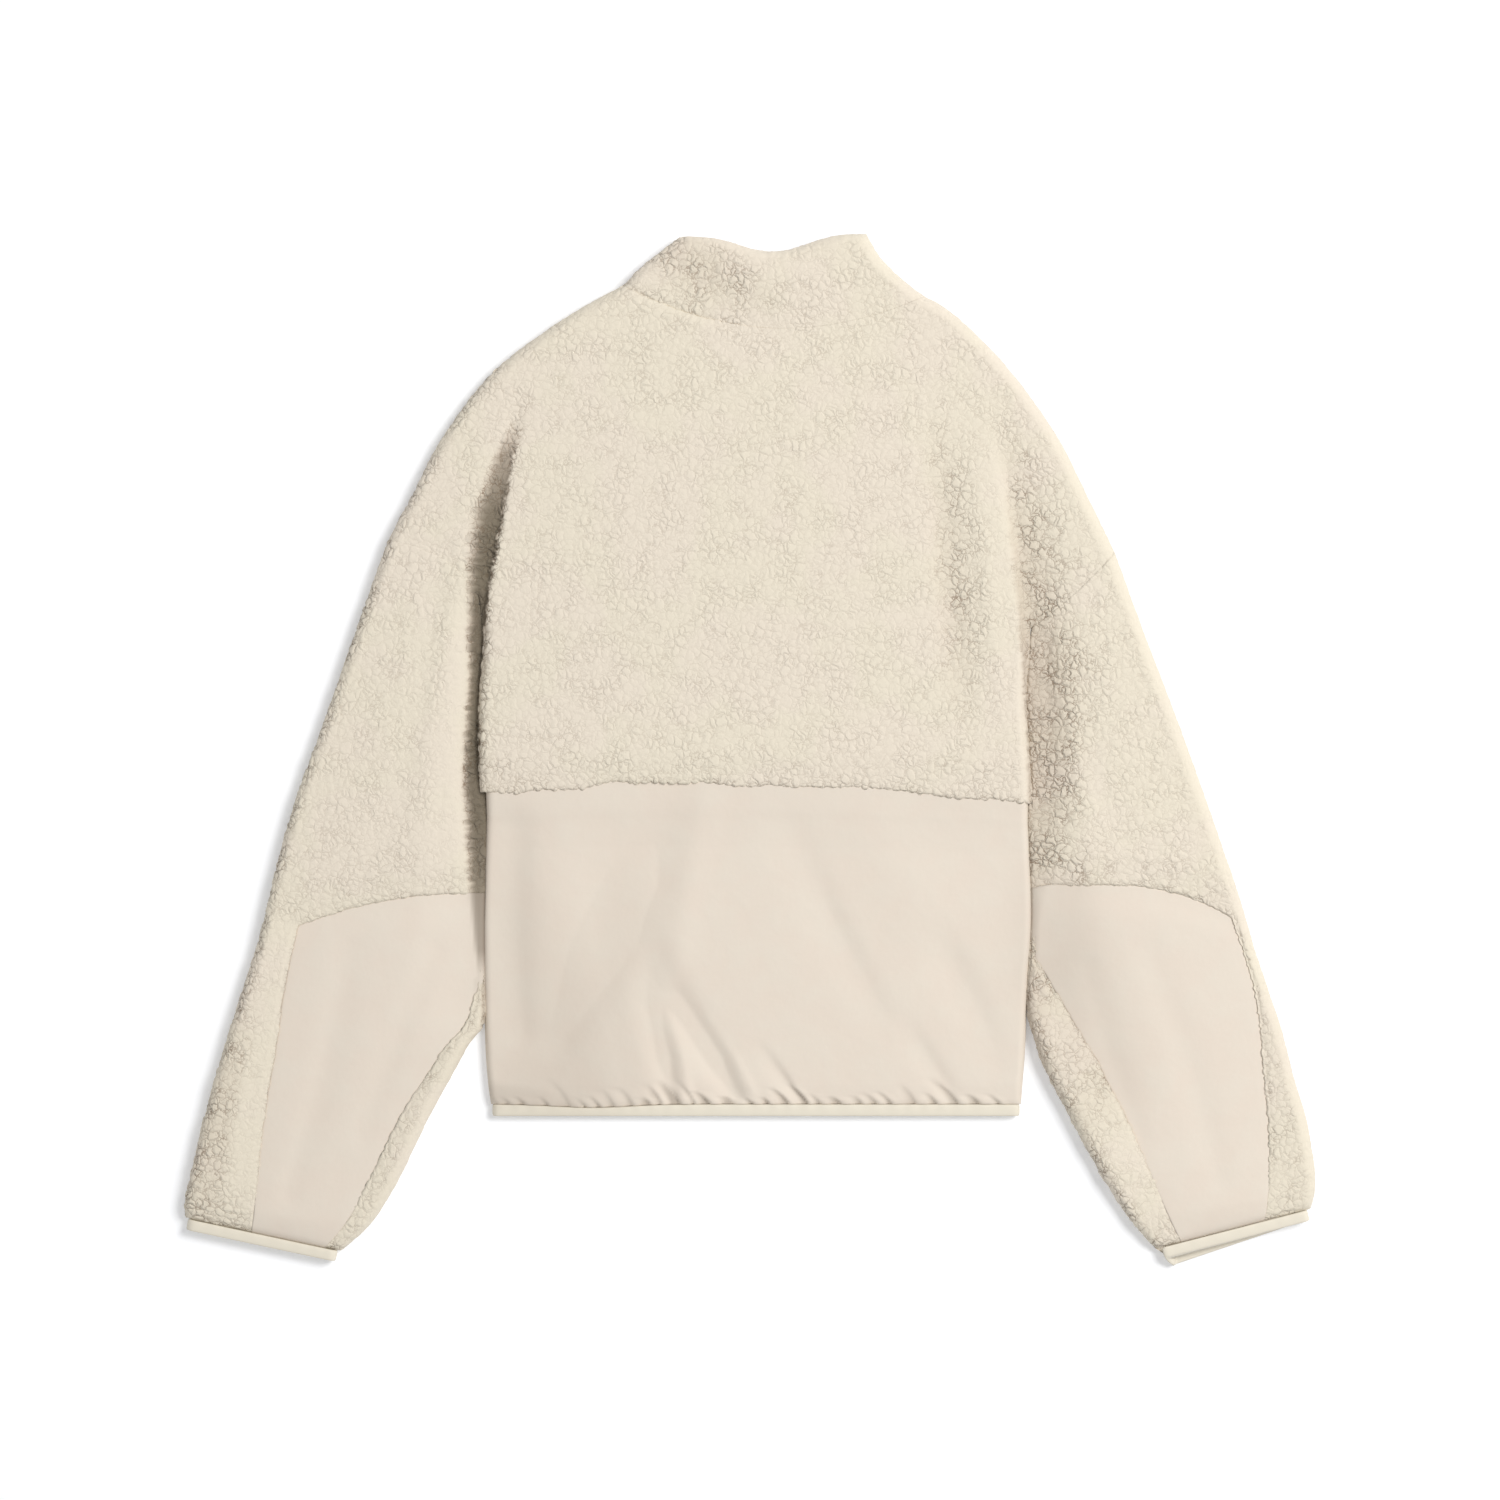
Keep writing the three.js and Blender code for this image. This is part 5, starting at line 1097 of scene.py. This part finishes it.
def bake(piece, tree, **values):
    """Runs a tree on a piece and keeps the result as a plain mesh."""
    modifier = piece.modifiers.new(tree.name, "NODES")
    modifier.node_group = tree
    set_inputs(modifier, **values)
    seen = piece.evaluated_get(bpy.context.evaluated_depsgraph_get())
    mesh = bpy.data.meshes.new_from_object(seen)
    piece.modifiers.remove(modifier)
    old, piece.data = piece.data, mesh
    bpy.data.meshes.remove(old)
    return piece


# %% [markdown]
# ## Materials
# Fleece is matte and a little see-through at its edges, which sheen imitates. Its colour is painted darker and
# warmer in the creases as painted shade, most on sides turned away from the key light, and painted brown to
# near black in hollows as painted shade. The woven cloth and the binding get painted shade in hollows too. The
# woven cloth is smoother, with a faint gloss and a fine weave that only a close look shows.

# %% Fleece
def principled(name, colour, roughness, sheen=0.0):
    material = bpy.data.materials.new(name)
    material.use_nodes = True
    shader = material.node_tree.nodes["Principled BSDF"]
    shader.inputs["Base Color"].default_value = (*colour, 1)
    shader.inputs["Roughness"].default_value = roughness
    shader.inputs["Sheen Weight"].default_value = sheen
    shader.inputs["Sheen Roughness"].default_value = 0.5
    shader.inputs["Specular IOR Level"].default_value = 0.25
    return material, material.node_tree, shader


def mix_colour(tree, factor, low, high):
    made = node(tree, "ShaderNodeMix", {"data_type": "RGBA"})
    for socket, value in ((made.inputs[0], factor), (made.inputs[6], low), (made.inputs[7], high)):
        if isinstance(value, bpy.types.NodeSocket):
            tree.links.new(value, socket)
        else:
            socket.default_value = (*value, 1)
    return made.outputs[2]


def bump(tree, height, distance, strength=1.0, normal=None):
    made = node(tree, "ShaderNodeBump", Height=height, Distance=distance, Strength=strength)
    if normal:
        tree.links.new(normal, made.inputs["Normal"])
    return made.outputs[0]


FLEECE_LIGHT = (0.80, 0.735, 0.610)
FLEECE_WARM = (0.805, 0.729, 0.619)
# Painted shade colours: the creases, the hollows, and the deepest hollows.
FLEECE_CREASE_SHADE = (0.32, 0.25, 0.19)
FLEECE_HOLLOW_SHADE = (0.40, 0.28, 0.205)
FLEECE_DEEPEST_SHADE = (0.135, 0.107, 0.070)
fleece, tree, shader = principled("sherpa_fleece", FLEECE_LIGHT, 0.95, 0.08)
rest = node(tree, "ShaderNodeAttribute", {"attribute_name": "rest"}).outputs["Vector"]
painted_shade, crease_opening_and_shade = (node(tree, "ShaderNodeAttribute", {"attribute_name": label}).outputs["Fac"]
                  for label in ("painted_shade", "crease_opening_and_shade"))
edge, strong, _ = curl_field(tree, rest)
# Painted shade in the creases, stronger where the cloth turns away from the key light; a faint random mottle is the
# fleece's own tone.
crease = maths(tree, "MULTIPLY", remap(tree, edge, 0.0, 0.065, 1.0, 0.0), strong)
mottle = node(tree, "ShaderNodeTexNoise", Vector=rest, Scale=700.0, Detail=3.0).outputs[0]
painted_crease_shade = maths(tree, "MULTIPLY", crease, maths(tree, "MULTIPLY_ADD", crease_opening_and_shade, 0.95, 0.34))
crease_shade_and_mottle = maths(tree, "ADD", painted_crease_shade, remap(tree, mottle, 0.3, 0.7, 0.05, 0.0))
cast = node(tree, "ShaderNodeTexNoise", Vector=rest, Scale=16.0, Detail=2.0).outputs[0]
lit = mix_colour(tree, remap(tree, cast, 0.42, 0.6), FLEECE_LIGHT, FLEECE_WARM)
crease_shaded = mix_colour(tree, crease_shade_and_mottle, lit, FLEECE_CREASE_SHADE)
# Painted shade in hollows: brown, going to near black where the shade is deepest.
deep = maths(tree, "MULTIPLY", painted_shade, 0.9)
painted_hollow_shade = mix_colour(tree, painted_shade, FLEECE_HOLLOW_SHADE, FLEECE_DEEPEST_SHADE)
tree.links.new(mix_colour(tree, deep, crease_shaded, painted_hollow_shade), shader.inputs["Base Color"])
rounded = maths(tree, "MULTIPLY", remap(tree, edge, 0.0, 0.3), strong)
rounded = maths(tree, "MULTIPLY", rounded, maths(tree, "MULTIPLY_ADD", crease_opening_and_shade, 0.6, 0.4))
height = maths(tree, "ADD", rounded, maths(tree, "MULTIPLY", mottle, 0.22))
tree.links.new(bump(tree, height, 0.001), shader.inputs["Normal"])

# %% Woven cloth and binding
WOVEN_COLOUR = (0.78, 0.692, 0.597)
woven, tree, shader = principled("woven_cloth", WOVEN_COLOUR, 0.62, 0.03)
place_at = node(tree, "ShaderNodeTexCoord").outputs["Object"]
warp = node(tree, "ShaderNodeTexWave", {"bands_direction": "X"}, Vector=place_at, Scale=620.0).outputs[1]
weft = node(tree, "ShaderNodeTexWave", {"bands_direction": "Y"}, Vector=place_at, Scale=620.0).outputs[1]
weave = maths(tree, "MULTIPLY", warp, weft)
cloudy = node(tree, "ShaderNodeTexNoise", Vector=place_at, Scale=45.0, Detail=3.0).outputs[0]
painted_shade = node(tree, "ShaderNodeAttribute", {"attribute_name": "painted_shade"}).outputs["Fac"]
plain = mix_colour(tree, remap(tree, cloudy, 0.3, 0.7), WOVEN_COLOUR, (0.78, 0.705, 0.61))
# Painted shade: the woven cloth goes dark brown in hollows.
tree.links.new(mix_colour(tree, maths(tree, "MULTIPLY", painted_shade, 0.85), plain, (0.18, 0.14, 0.10)),
               shader.inputs["Base Color"])
soft = bump(tree, cloudy, 0.0012, 0.5)
tree.links.new(bump(tree, weave, 0.00006, 0.6, soft), shader.inputs["Normal"])

BINDING_COLOUR = (0.80, 0.745, 0.63)
elastic, tree, shader = principled("elastic_binding", BINDING_COLOUR, 0.55, 0.1)
place_at = node(tree, "ShaderNodeTexCoord").outputs["Object"]
ribs = node(tree, "ShaderNodeTexWave", {"bands_direction": "X"}, Vector=place_at, Scale=420.0).outputs[1]
painted_shade = node(tree, "ShaderNodeAttribute", {"attribute_name": "painted_shade"}).outputs["Fac"]
# Painted shade: the binding goes dark brown in hollows.
tree.links.new(mix_colour(tree, maths(tree, "MULTIPLY", painted_shade, 0.6), BINDING_COLOUR, (0.3, 0.22, 0.16)),
               shader.inputs["Base Color"])
tree.links.new(bump(tree, ribs, 0.00012, 0.5), shader.inputs["Normal"])

tape_cloth, tree, shader = principled("zip_tape", (0.80, 0.73, 0.62), 0.8)
place_at = node(tree, "ShaderNodeTexCoord").outputs["Object"]
ribs = node(tree, "ShaderNodeTexWave", {"bands_direction": "X"}, Vector=place_at, Scale=300.0).outputs[1]
tree.links.new(bump(tree, ribs, 0.0002, 0.6), shader.inputs["Normal"])

metal, tree, shader = principled("zip_enamel", (0.62, 0.56, 0.47), 0.32)
shader.inputs["Metallic"].default_value = 0.75

# %% [markdown]
# ## Dressing the pieces
# Every fleece piece goes through the pile tree, and every piece gets its material. Each piece's cloth area is
# printed beside the area that it was cut to.

# %% Pile on the fleece, materials on the rest
pile = pile_tree()
fleece_pieces = [yoke, collar_back, *fronts.values(), *front_collars.values(), *(s[0] for s in sleeves.values())]
for piece in fleece_pieces:
    bake(piece, pile, Cloth=fleece)
woven_pieces = [lower_back, *lower_fronts.values(), *(s[1] for s in sleeves.values())]
for piece in woven_pieces:
    piece.data.materials.append(woven)
binding_pieces = [hem, *cuffs.values()]
for piece in binding_pieces:
    piece.data.materials.append(elastic)


def cloth_area(piece):
    """Half of a closed shell's surface, which is the cloth's own area, in square metres."""
    return sum(p.area for p in piece.data.polygons) / 2


for piece in fleece_pieces + woven_pieces + binding_pieces:
    size = [round(v, 3) for v in piece.dimensions]
    print(f"{piece.name}: cloth {cloth_area(piece):.4f} m2, cut {cut_area.get(piece.name[:-6], 0):.4f}, {size}")

# %% [markdown]
# ## The zip
# The zip closes the front, so it lies in the channel between the two fronts and faces the table. Its tapes are
# thin woven strips. Geometry Nodes set the moulded teeth along them, alternately from the left and the right,
# and sew the lower fronts to the tapes with a row of stitches along each edge. On the fleece the stitches
# sink into the pile and don't show.

# %% Zip tapes
TAPE_WIDTH, TAPE_THICKNESS = 15.0, 0.8
TAPE_LOW, TAPE_HIGH = HEM_Y + 1.0, FRONT_COLLAR_TOP_Y - 3.0


def tape_height(y):
    """Height of the fronts' inner side at the centre front, where the tapes are sewn on."""
    lift = WOVEN_LIFT * np.clip((y + 77) / 46, 0, 1)
    pinch = np.clip((HEM_Y + HEM_PINCH - y) / HEM_PINCH, 0, 1)
    return WOVEN_WALL + lift - pinch * (WOVEN_STACK - HEM_STACK) / 2


tapes = {}
for word, side in (("left", -1), ("right", 1)):
    y = np.linspace(TAPE_LOW, TAPE_HIGH, 201)[:, None] + np.zeros(7)
    off = np.linspace(0.04, TAPE_WIDTH, 7)[None, :] + 0 * y
    bead = 0.35 * np.exp(-((off - 0.8) / 0.9) ** 2)
    xy = np.stack([centre_x(y) + side * off, y], -1)
    low = stack_up(xy, tape_height(y) + 0.05 - bead)
    high = stack_up(xy, tape_height(y) + 0.05 + TAPE_THICKNESS + bead)
    tapes[word] = shell(f"zip_tape_{word}", low, high, 1)
    print(tapes[word].name, "quads", len(tapes[word].data.polygons))


# %% Trees that repeat a small shape along a line
def repeat_tree(name, shape_of, numbers):
    """Geometry Nodes: a tree that sets a small shape at even steps along a line, pointing along it."""
    tree = bpy.data.node_groups.new(name, "GeometryNodeTree")
    face = tree.interface
    face.new_socket("Geometry", in_out="INPUT", socket_type="NodeSocketGeometry")
    for label, value in numbers:
        face.new_socket(label, in_out="INPUT", socket_type="NodeSocketFloat").default_value = value
    face.new_socket("Finish", in_out="INPUT", socket_type="NodeSocketMaterial")
    face.new_socket("Geometry", in_out="OUTPUT", socket_type="NodeSocketGeometry")
    start, end = tree.nodes.new("NodeGroupInput"), tree.nodes.new("NodeGroupOutput")
    line = node(tree, "GeometryNodeMeshToCurve", i0=start.outputs["Geometry"])
    even = node(tree, "GeometryNodeResampleCurve", {"mode": "LENGTH"}, Curve=line.outputs[0],
                Length=start.outputs["Step"])
    along = node(tree, "GeometryNodeInputTangent").outputs[0]
    turn = node(tree, "FunctionNodeAlignRotationToVector", {"axis": "Y", "pivot_axis": "Z"}, Vector=along).outputs[0]
    shapes = []
    for shape, turned, slide in shape_of(tree, start):
        shift = vector_maths(tree, "SCALE", along)
        tree.links.new(maths(tree, "MULTIPLY", start.outputs["Step"], slide), shift.node.inputs["Scale"])
        moved = node(tree, "GeometryNodeSetPosition", Geometry=even.outputs[0], Offset=shift)
        spin = node(tree, "FunctionNodeRotateRotation", {"rotation_space": "LOCAL"}, Rotation=turn)
        spin.inputs[1].default_value = (0, 0, math.pi if turned else 0)
        shapes.append(node(tree, "GeometryNodeInstanceOnPoints", Points=moved.outputs[0], Instance=shape,
                           Rotation=spin.outputs[0]))
    join = node(tree, "GeometryNodeJoinGeometry")
    for shape in shapes:
        tree.links.new(shape.outputs[0], join.inputs[0])
    real = node(tree, "GeometryNodeRealizeInstances", Geometry=join.outputs[0])
    done = node(tree, "GeometryNodeSetMaterial", Geometry=real.outputs[0], Material=start.outputs["Finish"])
    tree.links.new(done.outputs[0], end.inputs[0])
    return tree


def placed(tree, shape, offset, scale=(1, 1, 1), rotation=(0, 0, 0)):
    return node(tree, "GeometryNodeTransform", Geometry=shape, Translation=offset, Scale=scale,
                Rotation=rotation).outputs[0]


def tooth_shapes(tree, start):
    """A foot that grips the tape's bead, a neck, and a round head that locks between its neighbours."""
    foot = node(tree, "GeometryNodeMeshCube", Size=(0.0015, 0.0019, 0.0026)).outputs[0]
    neck = node(tree, "GeometryNodeMeshCube", Size=(0.0016, 0.0011, 0.0015)).outputs[0]
    head = node(tree, "GeometryNodeMeshCylinder", Vertices=10, Radius=0.00076, Depth=0.0019).outputs[0]
    tooth = node(tree, "GeometryNodeJoinGeometry")
    for part in (placed(tree, foot, (-0.0022, 0, 0)), placed(tree, neck, (-0.0008, 0, 0)),
                 placed(tree, head, (0.00035, 0, 0))):
        tree.links.new(part, tooth.inputs[0])
    return [(tooth.outputs[0], False, 0.0), (tooth.outputs[0], True, 0.5)]


def stitch_shapes(tree, start):
    """A stitch is a short thread, thick in its middle, that dips into the cloth at both ends."""
    thread = node(tree, "GeometryNodeMeshUVSphere", Segments=8, Rings=6, Radius=1.0).outputs[0]
    return [(placed(tree, thread, (0, 0, 0), (0.00026, 0.00125, 0.00022)), False, 0.0)]


def line_mesh(name, points):
    mesh = bpy.data.meshes.new(name)
    mesh.from_pydata((np.asarray(points) * MM).tolist(), [(k, k + 1) for k in range(len(points) - 1)], [])
    made = bpy.data.objects.new(name, mesh)
    bpy.context.collection.objects.link(made)
    return made


# %% Teeth
SLIDER_Y, SLIDER_LENGTH, BOX_LENGTH = 309.5, 13.0, 9.0
y = np.linspace(TAPE_LOW + BOX_LENGTH + 1, SLIDER_Y - SLIDER_LENGTH / 2 - 2.2, 120)
centre_line = np.stack([centre_x(y), y, tape_height(y) - 0.15], 1) + PLAN_SHIFT
teeth_tree = repeat_tree("Zip teeth", tooth_shapes, [("Step", 0.0027)])
teeth = bake(line_mesh("zip_teeth_finish", centre_line), teeth_tree, Finish=tape_cloth)
print("teeth", len(teeth.data.polygons), "faces")

# %% Stitches along the fronts' edges
STITCH_IN = 2.2  # from the front's edge
stitch_tree = repeat_tree("Stitches", stitch_shapes, [("Step", 0.0032)])
stitch_rows = []
for word, side in (("left", -1), ("right", 1)):
    row = []
    for y in np.arange(HEM_Y + 4, -36.0, 4.0):
        x = float(centre_x(y)) + side * (ZIP_CHANNEL_HALF + STITCH_IN)
        below = ((np.array([x, y, -4.0]) + PLAN_SHIFT) * MM).tolist()
        _, spot, _, _ = lower_fronts[word].closest_point_on_mesh(below)
        row.append([*below[:2], spot[2]])
    rows = line_mesh(f"stitches_front_{word}", np.array(row) / MM)
    stitch_rows.append(bake(rows, stitch_tree, Finish=tape_cloth))
print("stitch rows", len(stitch_rows), "faces", sum(len(row.data.polygons) for row in stitch_rows))


# %% Slider, pull tab and box
def softened(name, width=0.00028):
    """A copy of a CAD node at the origin, with its sharp edges rounded as a casting's are."""
    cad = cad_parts[name]
    work = bmesh.new()
    work.from_mesh(cad.data)
    work.transform(cad.matrix_world)
    bmesh.ops.remove_doubles(work, verts=work.verts, dist=1e-6)
    bmesh.ops.dissolve_limit(work, angle_limit=0.02, verts=work.verts, edges=work.edges)
    sharp = [e for e in work.edges if len(e.link_faces) == 2 and e.calc_face_angle() > 0.5]
    bmesh.ops.bevel(work, geom=sharp, offset=width, segments=2, profile=0.6, affect="EDGES", clamp_overlap=True)
    bmesh.ops.recalc_face_normals(work, faces=work.faces)
    mesh = bpy.data.meshes.new(f"{name}_finish")
    work.to_mesh(mesh)
    work.free()
    made = bpy.data.objects.new(f"{name}_finish", mesh)
    bpy.context.collection.objects.link(made)
    return made


hardware = {name: softened(name) for name in ("zip_slider", "zip_pull", "zip_box")}
for name, piece in hardware.items():
    piece.data.materials.append(metal)
    print(piece.name, "faces", len(piece.data.polygons))

# %% Say what the zip's pieces are
for piece in tapes.values():
    piece.data.materials.append(tape_cloth)
for piece, solid, body, slot in (
        (teeth, "zip_teeth", "jacket", "zip_tape"), (hardware["zip_slider"], "zip_slider", "jacket", "zip_metal"),
        (hardware["zip_box"], "zip_box", "jacket", "zip_metal"),
        (hardware["zip_pull"], "zip_pull", "zip_pull_tab", "zip_metal")):
    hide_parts(solid)
    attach(piece, body)
for row in stitch_rows:
    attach(row, "jacket")

# %% Say what each cloth piece is
REPLACED = {"sleeve_left": ("sleeve_left_top", "sleeve_left_under"),
            "sleeve_right": ("sleeve_right_top", "sleeve_right_under")}
for pieces, slot in ((fleece_pieces, "sherpa"), (woven_pieces, "woven"), (binding_pieces, "binding"),
                     (tapes.values(), "zip_tape")):
    for piece in pieces:
        stands_for = piece.name.removesuffix("_cloth")
        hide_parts(*REPLACED.get(stands_for, (stands_for,)))
        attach(piece, "jacket")

# %% [markdown]
# ## Floor, light and camera
# The jacket lies on a pale table. A broad soft lamp at the upper right gives the curls part of their shade, and
# the rest is painted shade in the fleece's colour; the pale surroundings fill the rest of the light.

# %% Floor
floor_mesh = bpy.data.meshes.new("table")
FLOOR_HALF = 6.0
corners = [(x * FLOOR_HALF, y * FLOOR_HALF, -0.0005) for x, y in ((-1, -1), (1, -1), (1, 1), (-1, 1))]
floor_mesh.from_pydata(corners, [], [(0, 1, 2, 3)])
floor = bpy.data.objects.new("table", floor_mesh)
bpy.context.collection.objects.link(floor)
floor_cloth, _, shader = principled("table_paper", (0.935, 0.95, 0.98), 0.9)
shader.inputs["Emission Color"].default_value = (1, 1, 1, 1)
shader.inputs["Emission Strength"].default_value = 0.15
floor_mesh.materials.append(floor_cloth)


# %% Lamps and surroundings
def lamp(name, place, size, power, colour=(1, 1, 1)):
    data = bpy.data.lights.new(name, "AREA")
    data.size, data.energy, data.color = size, power, colour
    made = bpy.data.objects.new(name, data)
    made.location = place
    aim = -made.location.normalized()
    made.rotation_euler = aim.to_track_quat("-Z", "Y").to_euler()
    bpy.context.collection.objects.link(made)
    return made


lamp("key", (2.35, 1.3, 3.6), 1.9, 145, (1.0, 0.985, 0.965))
lamp("fill", (-1.0, -1.6, 3.2), 3.0, 16)
world = bpy.data.worlds.new("studio")
world.use_nodes = True
world.node_tree.nodes["Background"].inputs[0].default_value = (1.0, 1.0, 1.0, 1)
world.node_tree.nodes["Background"].inputs[1].default_value = 0.41
bpy.context.scene.world = world
bpy.context.scene.view_settings.view_transform = "Standard"

# %% Camera
FRAME_WIDTH = 1.125
camera_data = bpy.data.cameras.new("camera")
camera_data.lens, camera_data.sensor_width = 110.0, 36.0
camera = bpy.data.objects.new("camera", camera_data)
camera.location = (PLAN_SHIFT[0] * MM, PLAN_SHIFT[1] * MM, FRAME_WIDTH * 110 / 36)
bpy.context.collection.objects.link(camera)
bpy.context.scene.camera = camera
